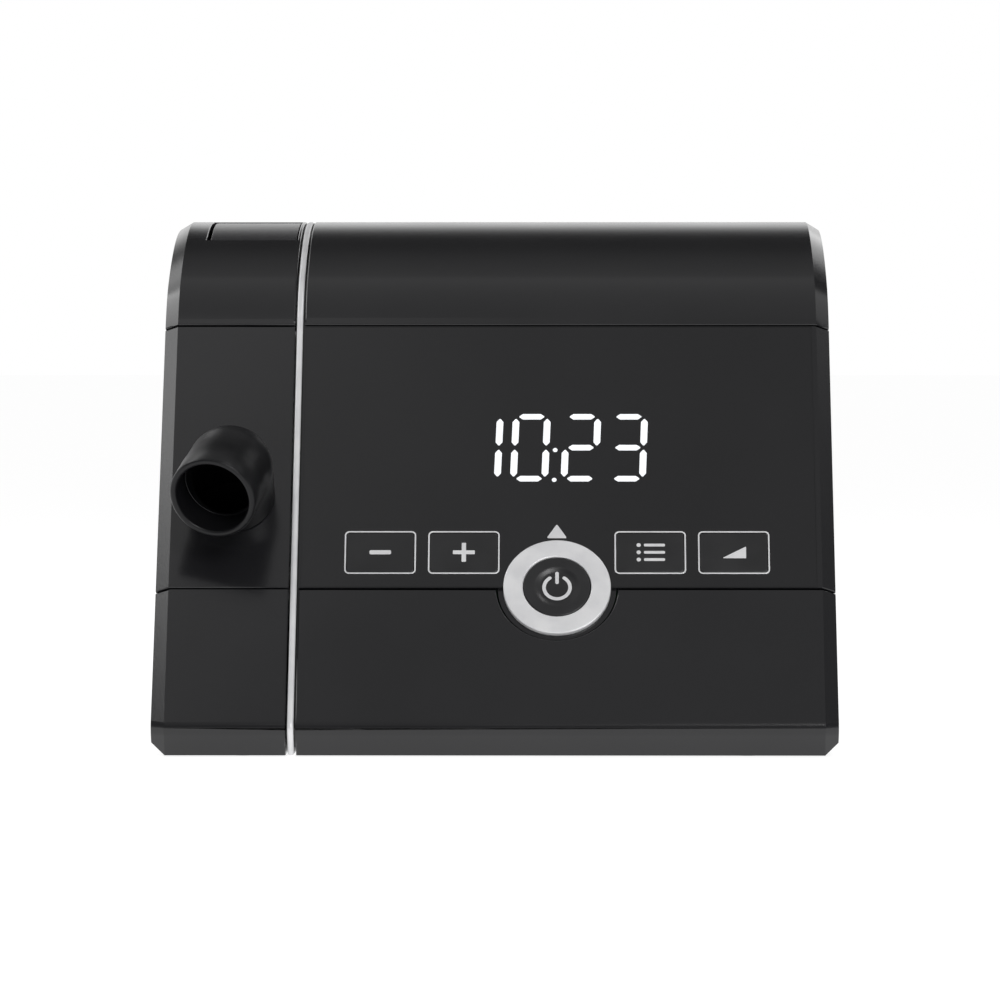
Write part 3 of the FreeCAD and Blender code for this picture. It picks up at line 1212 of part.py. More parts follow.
def build():
    fill_sheet()
    make_main_shells()
    make_front_foil()
    for name in KEYS:
        make_key(name)
    make_power_button()
    make_button_ring()
    make_front_board()
    make_tact_switches()
    make_display_module()
    make_trim_strip()
    make_main_board()
    make_ribbon_cable()
    make_sd_reader_and_card()
    make_sockets()
    make_rating_plate()
    make_volute()
    make_motor()
    make_impeller()
    make_blower_dampers()
    make_outlet_duct()
    make_inlet()
    make_filter_door()
    make_inlet_muffler()
    make_module_shells()
    make_release_button()
    make_release_spring()
    make_elbow_socket()
    make_module_duct()
    make_outlet_elbow()
    doc.recompute()


def test_all():
    for item in doc.Objects:
        if "Invalid" in item.State or "Error" in item.State:
            raise RuntimeError(f"{item.Name} failed: {item.State}")
    for item in nodes:
        if item.Shape.isNull() or not item.Shape.isValid() or not item.Shape.Solids:
            raise RuntimeError(f"{item.Label} has no valid solid")


def write_all():
    os.makedirs("parts", exist_ok=True)
    for item in nodes:
        item.Shape.exportStep(f"parts/{item.Label}.step")
        print(f"{item.Label}: {len(item.Shape.Solids)} solids, {item.Shape.Volume:.0f} mm3")


build()
test_all()
write_all()
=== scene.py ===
"""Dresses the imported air-pressure machine: rounded edges, printed marks, elbow, ring, finishes and studio."""

import logging
import math
from dataclasses import dataclass
from enum import Enum

import bmesh
import bpy
import numpy as np
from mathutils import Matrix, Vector
from mathutils.bvhtree import BVHTree


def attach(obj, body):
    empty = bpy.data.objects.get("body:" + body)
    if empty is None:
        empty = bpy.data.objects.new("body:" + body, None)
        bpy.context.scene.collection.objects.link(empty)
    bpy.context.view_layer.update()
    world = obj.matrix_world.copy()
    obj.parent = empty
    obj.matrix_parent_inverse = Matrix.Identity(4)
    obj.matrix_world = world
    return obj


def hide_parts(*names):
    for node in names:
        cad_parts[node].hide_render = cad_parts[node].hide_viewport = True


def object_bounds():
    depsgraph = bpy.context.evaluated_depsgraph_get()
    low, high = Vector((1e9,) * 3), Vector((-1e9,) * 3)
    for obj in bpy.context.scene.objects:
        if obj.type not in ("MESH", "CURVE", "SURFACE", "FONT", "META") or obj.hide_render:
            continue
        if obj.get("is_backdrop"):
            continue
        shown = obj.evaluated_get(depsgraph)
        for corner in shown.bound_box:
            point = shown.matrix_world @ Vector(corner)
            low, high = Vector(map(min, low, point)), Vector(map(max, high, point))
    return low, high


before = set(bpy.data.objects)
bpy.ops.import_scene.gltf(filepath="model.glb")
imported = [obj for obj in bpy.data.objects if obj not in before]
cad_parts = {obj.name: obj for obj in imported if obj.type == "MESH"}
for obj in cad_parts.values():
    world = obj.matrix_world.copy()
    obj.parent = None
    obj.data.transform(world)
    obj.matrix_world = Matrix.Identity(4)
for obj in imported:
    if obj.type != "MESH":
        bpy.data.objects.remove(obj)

LOG = logging.getLogger("air_machine")
MM = 0.001
# Points that lie closer together than this, in metres, become one.
WELD = 1e-7
# The face leans back by this angle; places on it are given in mm across it, up it and out of it.
LEAN = math.radians(32)
FACE_UP = np.array([0.0, math.sin(LEAN), math.cos(LEAN)])
FACE_OUT = np.array([0.0, -math.cos(LEAN), math.sin(LEAN)])
FACE_SIDE = np.array([1.0, 0.0, 0.0])
FACE_FOOT = np.array([0.0, -90.0, 7.0])
# The case's chin is rounded over this reach to both sides of the face's foot.
CHIN_REACH = 2.05
# Printed marks reach this deep into the surface that they lie on, and stand this far out of it.
SUNK = 0.1
INK = 0.04
THIN_INK = 0.03
# Radians that Blender's Wave texture runs through in one unit.
WAVE_RADIANS = 20.0


class Slot(Enum):
    """The record's material slots."""

    CASE = "case_plastic"
    FOIL = "overlay_foil"
    KEY = "key_plastic"
    SILVER = "silver_trim"
    ELBOW = "elbow_plastic"
    RUBBER = "rubber"
    BOARD = "circuit_board"
    SWITCH = "switch_plastic"
    DISPLAY = "display_glass"
    STEEL = "steel"
    WINDING = "motor_winding"
    DUCT = "duct_plastic"
    FOAM = "foam"
    FLEECE = "filter_fleece"
    CARD = "card_plastic"
    RIBBON = "ribbon"
    PLATE = "plate_film"


class Pattern(Enum):
    """The kinds of fine structure that a surface can carry."""

    GRAIN = "grain"
    FIBRE = "fibre"
    CELLS = "cells"
    TURNS = "turns"
    TRACKS = "tracks"
    STRIPES = "stripes"


def linear(code: str) -> tuple[float, float, float, float]:
    """Turn an sRGB hex colour into linear RGBA.

    Args:
        code: six hex digits after a hash sign.

    Returns:
        Linear red, green, blue and an alpha of 1.
    """
    parts = [int(code[i:i + 2], 16) / 255 for i in (1, 3, 5)]
    red, green, blue = [p / 12.92 if p <= 0.04045 else ((p + 0.055) / 1.055) ** 2.4 for p in parts]
    return red, green, blue, 1.0


def add_node(tree: bpy.types.NodeTree, kind: str, settings: dict | None = None,
             links: dict | None = None) -> bpy.types.Node:
    """Add one node with its settings and its incoming links.

    Args:
        tree: the node tree that gets the node.
        kind: Blender's name of the node type.
        settings: values by input name or attribute name.
        links: sockets to join, by input name or number.

    Returns:
        The new node.
    """
    node = tree.nodes.new(kind)
    for name, value in (settings or {}).items():
        if name in node.inputs:
            node.inputs[name].default_value = value
        else:
            setattr(node, name, value)
    for name, socket in (links or {}).items():
        tree.links.new(socket, node.inputs[name])
    return node


# ---------------------------------------------------------------- finishes

@dataclass(frozen=True)
class Finish:
    """One real material and how its surface was made; sizes are in millimetres."""

    title: str
    colour: str
    shade: str
    pattern: Pattern
    pitch: float
    depth: float
    cloud: float = 40.0
    roughness: float = 0.45
    spread: float = 0.05
    metallic: float = 0.0
    ior: float = 1.5
    shader: tuple[tuple[str, float], ...] = ()
    glow: float = 0.0
    contrast: tuple[float, float] = (0.35, 0.65)

    def structure(self, tree: bpy.types.NodeTree, place: bpy.types.NodeSocket) -> bpy.types.NodeSocket:
        """Add the pattern's texture; its scale gives 1000 / pitch cells or waves in a metre.

        Args:
            tree: the material's nodes.
            place: Object coordinates in metres.

        Returns:
            The socket that gives the pattern's height, 0 to 1.
        """
        scale = 1 / (self.pitch * MM)
        if self.pattern is Pattern.CELLS:
            return add_node(tree, "ShaderNodeTexVoronoi", {"Scale": scale, "feature": "SMOOTH_F1",
                            "Smoothness": 0.25}, {"Vector": place}).outputs["Distance"]
        waves = scale * math.tau / WAVE_RADIANS
        if self.pattern is Pattern.TURNS:
            return add_node(tree, "ShaderNodeTexWave", {"Scale": waves, "bands_direction": "Z",
                            "Distortion": 1.2, "Detail": 2.0}, {"Vector": place}).outputs["Fac"]
        if self.pattern is Pattern.STRIPES:
            return add_node(tree, "ShaderNodeTexWave", {"Scale": waves, "bands_direction": "X"},
                            {"Vector": place}).outputs["Fac"]
        if self.pattern is Pattern.TRACKS:
            return add_node(tree, "ShaderNodeTexBrick", {"Scale": scale, "Mortar Size": 0.05,
                            "Brick Width": 2.6, "Row Height": 0.4, "Color1": (0, 0, 0, 1),
                            "Color2": (0.25, 0.25, 0.25, 1), "Mortar": (1, 1, 1, 1), "offset": 0.37},
                            {"Vector": place}).outputs["Color"]
        detail = {"Scale": scale, "Detail": 2.0, "Roughness": 0.5}
        if self.pattern is Pattern.FIBRE:
            detail.update({"Distortion": 2.5, "Detail": 4.0})
        return add_node(tree, "ShaderNodeTexNoise", detail, {"Vector": place}).outputs["Fac"]

    def build(self) -> bpy.types.Material:
        """Make the material: fine structure in the bump, slow clouds in gloss, and in colour for grain. The
        other patterns take their colour from the structure's height, so their low parts get the shade colour:
        painted shade in the hollows of foam, winding, ribbon and fleece.

        Returns:
            The new material.
        """
        material = bpy.data.materials.new(self.title)
        material.use_nodes = True
        tree = material.node_tree
        tree.nodes.clear()
        place = add_node(tree, "ShaderNodeTexCoord").outputs["Object"]
        height = self.structure(tree, place)
        slow = add_node(tree, "ShaderNodeTexNoise", {"Scale": 1 / (self.cloud * MM), "Detail": 3.0},
                        {"Vector": place}).outputs["Fac"]
        # Grain takes its colour from slow clouds; the other patterns take it from their height, which paints
        # shade into the low parts of foam, winding, ribbon and fleece.
        source = slow if self.pattern is Pattern.GRAIN else height
        ramp = add_node(tree, "ShaderNodeValToRGB", {}, {"Fac": source})
        for stop, where, code in zip(ramp.color_ramp.elements, self.contrast, (self.shade, self.colour)):
            stop.position, stop.color = where, linear(code)
        gloss = add_node(tree, "ShaderNodeMapRange", {"From Min": 0.3, "From Max": 0.7,
                         "To Min": self.roughness - self.spread, "To Max": self.roughness + self.spread},
                         {"Value": slow}).outputs["Result"]
        bump = add_node(tree, "ShaderNodeBump", {"Distance": self.depth * MM, "Strength": 1.0},
                        {"Height": height}).outputs["Normal"]
        settings = {"Metallic": self.metallic, **dict(self.shader)}
        if not self.metallic:
            settings["IOR"] = self.ior
        links = {"Base Color": ramp.outputs["Color"], "Roughness": gloss, "Normal": bump}
        if self.glow:
            settings.update({"Emission Color": linear(self.colour), "Emission Strength": self.glow})
        skin = add_node(tree, "ShaderNodeBsdfPrincipled", settings, links)
        add_node(tree, "ShaderNodeOutputMaterial", {}, {"Surface": skin.outputs["BSDF"]})
        return material


FINISHES: dict[Slot, Finish] = {
    # Near-black ABS moulded in a spark-eroded tool: satin, with a sheen that spreads.
    # The grain is too fine to show, so it is drawn 0.45 mm wide.
    Slot.CASE: Finish("eroded_abs", "#1c1c1e", "#19191b", Pattern.GRAIN, 0.45, 0.006,
                      roughness=0.17, spread=0.012, ior=1.53),
    # Screen-printed smoked polyester: flat and even, a little duller than the case.
    Slot.FOIL: Finish("smoked_polyester", "#18181a", "#161618", Pattern.GRAIN, 0.5, 0.003,
                      roughness=0.2, spread=0.01, ior=1.53),
    # The same printed film over a soft dome: duller, and slightly glossier where fingers rub it.
    Slot.KEY: Finish("key_lacquer", "#19191b", "#151517", Pattern.GRAIN, 0.4, 0.003, cloud=9.0,
                     roughness=0.34, spread=0.03, ior=1.52),
    # ABS sprayed with silver lacquer: fine aluminium flakes give a pale, soft metal light.
    Slot.SILVER: Finish("silver_lacquer", "#e9e9ea", "#dedee0", Pattern.GRAIN, 0.3, 0.004, cloud=6.0,
                        roughness=0.34, spread=0.03, metallic=0.2),
    # Black polypropylene from a fine-blasted tool: deep black, its highlights wide and soft.
    # The blasted skin mirrors less than a smooth one, so its IOR is set low.
    Slot.ELBOW: Finish("blasted_polypropylene", "#141416", "#111113", Pattern.GRAIN, 0.5, 0.003, cloud=14.0,
                       roughness=0.36, spread=0.02, ior=1.35),
    # Moulded silicone rubber: dull, slightly dusty.
    Slot.RUBBER: Finish("moulded_rubber", "#232324", "#1b1b1c", Pattern.GRAIN, 0.35, 0.01, cloud=5.0,
                        roughness=0.82, spread=0.06, ior=1.45, shader=(("Sheen Weight", 0.15),)),
    # Glass-fibre board under green solder resist: raised copper tracks under a glossy skin.
    Slot.BOARD: Finish("solder_resist", "#0e4a22", "#1d7a3c", Pattern.TRACKS, 3.0, 0.03, cloud=20.0,
                       roughness=0.3, spread=0.05, ior=1.5, shader=(("Coat Weight", 0.3),),
                       contrast=(0.05, 0.9)),
    # Moulded glass-filled nylon: dark, faintly flecked by its fibres.
    Slot.SWITCH: Finish("filled_nylon", "#1b1b1d", "#29292c", Pattern.FIBRE, 0.5, 0.006,
                        roughness=0.5, ior=1.53),
    # Backlit segments behind a clear window: even white light.
    Slot.DISPLAY: Finish("display_light", "#e9ebee", "#dfe2e6", Pattern.GRAIN, 0.8, 0.001, cloud=4.0,
                         roughness=0.3, spread=0.02, ior=1.5, glow=0.55),
    # Zinc-plated pressed steel: cool grey, its shine broken by fine crystals.
    Slot.STEEL: Finish("zinc_steel", "#b9bcc0", "#9a9da2", Pattern.GRAIN, 0.25, 0.004, cloud=3.0,
                       roughness=0.32, spread=0.08, metallic=1.0),
    # Enamelled copper wire 0.5 mm thick, drawn twice as coarse: warm ribs with a varnish gloss, and painted
    # shade, dark brown, in the grooves between the turns.
    Slot.WINDING: Finish("enamelled_copper", "#b5622c", "#5c2a12", Pattern.TURNS, 1.0, 0.12,
                         roughness=0.3, metallic=1.0, shader=(("Coat Weight", 0.5),)),
    # Natural polypropylene: milky, soft light inside the wall.
    Slot.DUCT: Finish("natural_polypropylene", "#d4d3cd", "#c8c7bf", Pattern.GRAIN, 0.6, 0.005,
                      roughness=0.42, ior=1.49, shader=(("Subsurface Weight", 0.1),
                                                        ("Subsurface Scale", 0.002))),
    # Reticulated polyether foam: open pores about 1 mm across, painted near-black in their middles as shade
    # inside the pores.
    Slot.FOAM: Finish("open_cell_foam", "#54555a", "#1f2023", Pattern.CELLS, 1.1, 0.35,
                      roughness=0.95, shader=(("Sheen Weight", 0.3),), contrast=(0.1, 0.6)),
    # Pressed polyester fleece: white, tangled fibres drawn 0.6 mm apart, painted a little greyer as shade where
    # they lie low.
    Slot.FLEECE: Finish("filter_fleece", "#f1f0ec", "#d9d8d2", Pattern.FIBRE, 0.6, 0.12,
                        roughness=0.95, shader=(("Sheen Weight", 0.4),), contrast=(0.3, 0.6)),
    # Moulded memory card: dark blue, finely textured.
    Slot.CARD: Finish("card_shell", "#1d2740", "#182038", Pattern.GRAIN, 0.35, 0.006,
                      roughness=0.48, ior=1.52),
    # Extruded ribbon cable: parallel wires 1 mm apart under pale PVC, drawn twice as coarse; the valleys
    # between the wires are painted greyer as shade.
    Slot.RIBBON: Finish("ribbon_pvc", "#d0d0cc", "#a9aaa8", Pattern.STRIPES, 2.0, 0.12,
                        roughness=0.45, ior=1.53, contrast=(0.2, 0.6)),
    # Matt silver polyester film, left bare: an even grey with a dull shine.
    Slot.PLATE: Finish("plate_film", "#c9cacb", "#bfc0c2", Pattern.GRAIN, 0.3, 0.003, cloud=8.0,
                       roughness=0.4, metallic=0.4),
}


# Soft-touch lacquer on the plate that fingers press: a little paler than the bare ABS, with a wider sheen.
GRIP = Finish("soft_touch", "#242427", "#202023", Pattern.GRAIN, 0.6, 0.006,
              roughness=0.24, spread=0.015, ior=1.6)


class Paints:
    """Builds each finish once and hands it out by slot."""

    def __init__(self) -> None:
        """Start with every finish built."""
        self.ready = {slot: finish.build() for slot, finish in FINISHES.items()}
        self.grip = GRIP.build()

    def dress(self, piece: bpy.types.Object, slot: Slot, grip: bool) -> None:
        """Give a piece the finish of its slot, or the soft-touch one for fingers."""
        piece.data.materials.clear()
        piece.data.materials.append(self.grip if grip else self.ready[slot])

    def dress_nodes(self) -> None:
        """Give every CAD node the finish that the record names for it, found by its material's name."""
        for name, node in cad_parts.items():
            for holder in node.material_slots:
                slot = Slot(holder.material.name.split(".")[0])
                holder.material = self.ready[slot]
            LOG.info("dressed node %s", name)


# ---------------------------------------------------------------- surfaces in numpy

def on_face(across: np.ndarray, row: np.ndarray, rise: np.ndarray | float) -> np.ndarray:
    """Place points on the leaning face: foot + across * side + row * up + rise * outward normal.

    Args:
        across: distances to the right of the case's middle, in mm.
        row: distances up the face from its lower edge, in mm.
        rise: height above the face, in mm.

    Returns:
        An array of points in mm with a last axis of 3.
    """
    across, row, rise = np.broadcast_arrays(across, row, rise)
    return (FACE_FOOT + across[..., None] * FACE_SIDE + row[..., None] * FACE_UP
            + rise[..., None] * FACE_OUT)


def grid_faces(rows: int, columns: int, wrap_rows: bool) -> np.ndarray:
    """Number the quads of a grid of points, row by row; the last column joins the first.

    Args:
        rows: count of rows.
        columns: count of columns.
        wrap_rows: the last row joins the first too.

    Returns:
        An array of quads, four point numbers each.
    """
    row = np.arange(rows if wrap_rows else rows - 1)[:, None]
    column = np.arange(columns)[None, :]
    after, beside = (row + 1) % rows, (column + 1) % columns
    quads = [row * columns + column, row * columns + beside, after * columns + beside,
             after * columns + column]
    return np.stack(quads, axis=-1).reshape(-1, 4)


def arc_points(centre: tuple[float, float], radius: float, start: float, end: float,
               steps: int) -> np.ndarray:
    """Sample an arc: centre + radius * (cos, sin) of evenly spaced headings.

    Args:
        centre: the arc's centre.
        radius: its radius.
        start: the first heading in degrees.
        end: the last heading in degrees.
        steps: count of points.

    Returns:
        The arc's points, one row each.
    """
    angle = np.radians(np.linspace(start, end, steps))
    return np.stack([centre[0] + radius * np.cos(angle), centre[1] + radius * np.sin(angle)], axis=1)


def half_angles(back: np.ndarray, ahead: np.ndarray) -> np.ndarray:
    """Give half of the angle between each two unit directions, as a column."""
    return np.arccos(np.clip((back * ahead).sum(axis=1, keepdims=True), -1, 1)) / 2


def corner_arcs(corners: np.ndarray, back: np.ndarray, ahead: np.ndarray, reach: np.ndarray | float,
                steps: int) -> np.ndarray:
    """Round corners: each arc starts and ends the reach away, and its centre lies on the bisector.

    The centre is reach / cos(half angle) from the corner, and the points follow by turning the first radius
    into the last: (sin((1 - part) * sweep) * start + sin(part * sweep) * end) / sin(sweep).

    Args:
        corners: one row for each corner.
        back: unit directions to the corners before.
        ahead: unit directions to the corners after.
        reach: distance from each corner to both ends of its arc.
        steps: points on each arc.

    Returns:
        The arcs' points, corner by corner.
    """
    half = half_angles(back, ahead)
    middle = back + ahead
    middle /= np.linalg.norm(middle, axis=1, keepdims=True)
    centre = corners + middle * reach / np.cos(half)
    start = (corners + back * reach - centre)[:, None]
    end = (corners + ahead * reach - centre)[:, None]
    sweep = (math.pi - 2 * half)[:, None]
    part = np.linspace(0, 1, steps)[None, :, None]
    arc = (np.sin((1 - part) * sweep) * start + np.sin(part * sweep) * end) / np.sin(sweep)
    return (centre[:, None] + arc).reshape(-1, 2)


def rounded_outline(corners: np.ndarray, radius: float, steps: int = 6) -> np.ndarray:
    """Round a polygon's corners: each arc reaches radius / tan(half angle) along both sides.

    Args:
        corners: polygon corners, counter-clockwise, one row each.
        radius: radius of the rounding in mm.
        steps: points on each arc.

    Returns:
        The rounded outline's points.
    """
    back = np.roll(corners, 1, axis=0) - corners
    ahead = np.roll(corners, -1, axis=0) - corners
    back /= np.linalg.norm(back, axis=1, keepdims=True)
    ahead /= np.linalg.norm(ahead, axis=1, keepdims=True)
    return corner_arcs(corners, back, ahead, radius / np.tan(half_angles(back, ahead)), steps)


def outline_insets(outline: np.ndarray) -> np.ndarray:
    """Work out how each point of a closed outline moves for an inset of 1 mm that keeps its edges parallel.

    Args:
        outline: points of a counter-clockwise outline.

    Returns:
        One mitre vector for each point: the sum of both edge normals over 1 plus their product.
    """
    edge = np.roll(outline, -1, axis=0) - outline
    edge /= np.maximum(np.linalg.norm(edge, axis=1, keepdims=True), 1e-9)
    after = np.stack([-edge[:, 1], edge[:, 0]], axis=1)
    before = np.roll(after, 1, axis=0)
    return (before + after) / (1 + (before * after).sum(axis=1, keepdims=True))


def box_corners(half_width: float, half_height: float) -> np.ndarray:
    """Give a rectangle's corners about the origin, counter-clockwise."""
    return np.array([[-half_width, -half_height], [half_width, -half_height],
                     [half_width, half_height], [-half_width, half_height]])


def bar_corners(half_length: float, half_height: float, taper: float) -> np.ndarray:
    """Give the corners of a bar with a pointed end at both sides, counter-clockwise.

    Args:
        half_length: from the middle to a point.
        half_height: from the middle to a long side.
        taper: length of each pointed end.

    Returns:
        Six corners, one row each.
    """
    shoulder = half_length - taper
    return np.array([[-shoulder, -half_height], [shoulder, -half_height], [half_length, 0.0],
                     [shoulder, half_height], [-shoulder, half_height], [-half_length, 0.0]])


def disc_outline(radius: float, steps: int) -> np.ndarray:
    """Give points on a circle about the origin, counter-clockwise."""
    angle = np.linspace(0, 2 * math.pi, steps, endpoint=False)
    return radius * np.stack([np.cos(angle), np.sin(angle)], axis=1)


@dataclass
class Piece:
    """A new visible piece: its name, the body that carries it, its slot and the nodes it stands for.

    Edges that turn by more than the smooth angle, in degrees, stay sharp. Grip picks the soft-touch finish.
    """

    name: str
    body: str
    slot: Slot
    stands_for: tuple[str, ...] = ()
    smooth: float = 30.0
    grip: bool = False

    def write(self, points: np.ndarray, faces: list, paints: Paints) -> bpy.types.Object:
        """Make the object from points in mm and faces, closed and with its faces outwards.

        Args:
            points: one row for each point.
            faces: lists of point numbers.
            paints: the finishes.

        Returns:
            The finished object.
        """
        mesh = bpy.data.meshes.new(self.name)
        mesh.from_pydata((points.reshape(-1, 3) * MM).tolist(), [], faces)
        form = bmesh.new()
        form.from_mesh(mesh)
        bmesh.ops.remove_doubles(form, verts=form.verts, dist=WELD)
        bmesh.ops.recalc_face_normals(form, faces=form.faces)
        form.to_mesh(mesh)
        form.free()
        piece = bpy.data.objects.new(self.name, mesh)
        bpy.context.scene.collection.objects.link(piece)
        return self.settle(piece, paints)

    def settle(self, piece: bpy.types.Object, paints: Paints) -> bpy.types.Object:
        """Shade a piece, dress it, and tell the frame what carries it.

        Args:
            piece: the object to settle.
            paints: the finishes.

        Returns:
            The same object.
        """
        piece.data.shade_smooth()
        piece.data.set_sharp_from_angle(angle=math.radians(self.smooth))
        paints.dress(piece, self.slot, self.grip)
        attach(piece, self.body)
        if self.stands_for:
            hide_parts(*self.stands_for)
        LOG.info("made %s with %d faces", self.name, len(piece.data.polygons))
        return piece

    def lathe(self, profile: np.ndarray, across: float, row: float, turns: int, closed: bool,
              paints: Paints) -> bpy.types.Object:
        """Turn a profile about the face's normal: across + radius * cos, row + radius * sin, at its rise.

        Args:
            profile: radius and rise of each profile point, in mm.
            across: the axis's place across the face.
            row: the axis's place up the face.
            turns: points round the circle.
            closed: the profile's last point joins its first.
            paints: the finishes.

        Returns:
            The finished object.
        """
        angle = np.linspace(0, 2 * math.pi, turns, endpoint=False)
        radius, rise = profile[:, :1], profile[:, 1:]
        points = on_face(across + radius * np.cos(angle), row + radius * np.sin(angle), rise)
        return self.write(points, grid_faces(len(profile), turns, closed).tolist(), paints)

    def raised(self, outlines: list[np.ndarray], base: float, height: float, edge: float,
               paints: Paints) -> bpy.types.Object:
        """Make flat printed shapes: each outline rises, steps in by an edge and is capped above and below.

        Args:
            outlines: closed counter-clockwise outlines in face coordinates.
            base: rise of the underside.
            height: rise of the top.
            edge: width of the edge's slope.
            paints: the finishes.

        Returns:
            The finished object.
        """
        points: list[np.ndarray] = []
        faces: list[list[int]] = []
        for outline in outlines:
            start = sum(len(block) for block in points)
            count = len(outline)
            inner = outline + outline_insets(outline) * edge
            rows = [(outline, base), (outline, height - edge), (inner, height)]
            points.append(np.concatenate([on_face(flat[:, 0], flat[:, 1], rise) for flat, rise in rows]))
            faces += (grid_faces(3, count, False) + start).tolist()
            faces.append(list(range(start + 2 * count, start + 3 * count)))
            faces.append(list(range(start + count - 1, start - 1, -1)))
        return self.write(np.concatenate(points), faces, paints)


def solids_tree() -> BVHTree:
    """Gather every CAD node's triangles in one search tree.

    Returns:
        The tree, in metres.
    """
    points: list = []
    faces: list = []
    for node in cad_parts.values():
        start = len(points)
        points.extend(v.co.copy() for v in node.data.vertices)
        faces.extend([start + i for i in face.vertices] for face in node.data.polygons)
    return BVHTree.FromPolygons(points, faces)


@dataclass
class SoftenedShell(Piece):
    """A case piece copied from its solid, whose outward edges get the small radius of a moulding tool.

    An edge that turns by more than the smooth angle counts as sharp, and only sharp edges are rounded. One is
    left alone where it is shorter than shortest, where another wall stands nearer than closest, or where its
    faces end within room times the radius. The edge round the underside gets the foot radius. Edges above
    curve_low and beyond curve_side stay crisp.
    """

    smooth: float = 23.0
    radius: float = 0.3
    segments: int = 2
    shortest: float = 0.4
    closest: float = 0.3
    clear: float = 0.2
    inwards: float = 0.15
    room: float = 2.2
    foot: float = 0.12
    chin_top: float = 14.0
    chin_tilt: float = 0.3
    chin_steps: int = 7
    curve_low: float = 106.6
    curve_side: float = 78.0
    under: float = 0.95
    merge: float = 0.002
    flat: float = 0.1
    lift: float = 0.01
    slack: float = 0.02

    def round_chin(self, form: bmesh.types.BMesh) -> None:
        """Round the low ridge where the face turns under: one wall looks up and forwards, the other down.

        Args:
            form: the shell's mesh, changed in place.
        """
        ridge = []
        for edge in filter(self.stands_out, form.edges):
            one, two = (face.normal for face in edge.link_faces)
            low = max(vertex.co.z for vertex in edge.verts) < self.chin_top * MM
            turned = min(one.z, two.z) < -self.chin_tilt and max(one.z, two.z) > self.chin_tilt
            if low and turned and max(one.y, two.y) < -self.chin_tilt:
                ridge.append(edge)
        if ridge:
            bmesh.ops.bevel(form, geom=ridge, offset=CHIN_REACH * MM, offset_type="OFFSET",
                            segments=self.chin_steps, profile=0.5, affect="EDGES", clamp_overlap=False)
            form.normal_update()
            LOG.info("%s: rounded %d chin edges", self.name, len(ridge))

    def stands_out(self, edge: bmesh.types.BMEdge) -> bool:
        """Tell whether an edge is sharp and looks outwards."""
        return len(edge.link_faces) == 2 and edge.calc_face_angle_signed(0.0) > math.radians(self.smooth)

    def share(self, edge: bmesh.types.BMEdge) -> float:
        """Give an edge's radius as a share of the full one: the edge round the underside is crisper."""
        lowest = min(face.normal.z for face in edge.link_faces)
        return self.foot / self.radius if lowest < -self.under else 1.0

    def open_to_eye(self, edge: bmesh.types.BMEdge, tree: BVHTree, own: BVHTree) -> bool:
        """Tell whether an edge lies open: its outward ray escapes and no neighbour stands close to its walls.

        The curved ridges beside the top's slanted sides stay crisp.

        Args:
            edge: a sharp outward edge.
            tree: search tree of all nodes.
            own: search tree of the piece itself.

        Returns:
            True where the edge can be seen and has room for its rounding.
        """
        one, two = (face.normal for face in edge.link_faces)
        out = (one + two).normalized()
        middle = (edge.verts[0].co + edge.verts[1].co) / 2
        if middle.z > self.curve_low * MM and abs(middle.x) > self.curve_side * MM:
            return False
        if edge.calc_length() < self.shortest * MM:
            return False
        if tree.ray_cast(middle + out * self.clear * MM, out)[0] is not None:
            return False
        for ahead, other in ((one, two), (two, one)):
            start = middle + (ahead * self.lift - other * self.inwards) * MM
            if tree.ray_cast(start, ahead, self.closest * MM)[0] is not None:
                return False
        return self.has_room(edge, middle, own)

    def has_room(self, edge: bmesh.types.BMEdge, middle: Vector, own: BVHTree) -> bool:
        """Tell whether both faces reach on for some radii: a point that far in still lies on the piece.

        Args:
            edge: a sharp outward edge.
            middle: the edge's middle.
            own: search tree of the piece itself.

        Returns:
            True where neither face ends in a narrow margin.
        """
        for loop in edge.link_loops:
            along = (loop.link_loop_next.vert.co - loop.vert.co).normalized()
            inwards = loop.face.normal.cross(along)
            if own.find_nearest(middle + inwards * self.room * self.radius * MM)[3] > self.slack * MM:
                return False
        return True

    def build(self, tree: BVHTree, paints: Paints) -> bpy.types.Object:
        """Copy the node's mesh, merge it, mark the outward edges and round them.

        Args:
            tree: search tree of all nodes.
            paints: the finishes.

        Returns:
            The finished object.
        """
        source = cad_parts[self.stands_for[0]]
        mesh = source.data.copy()
        mesh.name = self.name
        form = bmesh.new()
        form.from_mesh(mesh)
        bmesh.ops.remove_doubles(form, verts=form.verts, dist=self.merge * MM)
        bmesh.ops.dissolve_limit(form, angle_limit=math.radians(self.flat), verts=form.verts,
                                 edges=form.edges)
        self.round_chin(form)
        weight = form.edges.layers.float.new("bevel_weight_edge")
        own = BVHTree.FromBMesh(form)
        for edge in filter(self.stands_out, form.edges):
            if self.open_to_eye(edge, tree, own):
                edge[weight] = self.share(edge)
        form.to_mesh(mesh)
        form.free()
        piece = bpy.data.objects.new(self.name, mesh)
        bpy.context.scene.collection.objects.link(piece)
        rounding = piece.modifiers.new("edge_radius", "BEVEL")
        rounding.limit_method = "WEIGHT"
        rounding.width = self.radius * MM
        rounding.segments = self.segments
        rounding.use_clamp_overlap = False
        rounding.miter_outer = "MITER_SHARP"
        evening = piece.modifiers.new("even_faces", "WEIGHTED_NORMAL")
        evening.keep_sharp = True
        evening.weight = 100
        return self.settle(piece, paints)


# ---------------------------------------------------------------- hose elbow

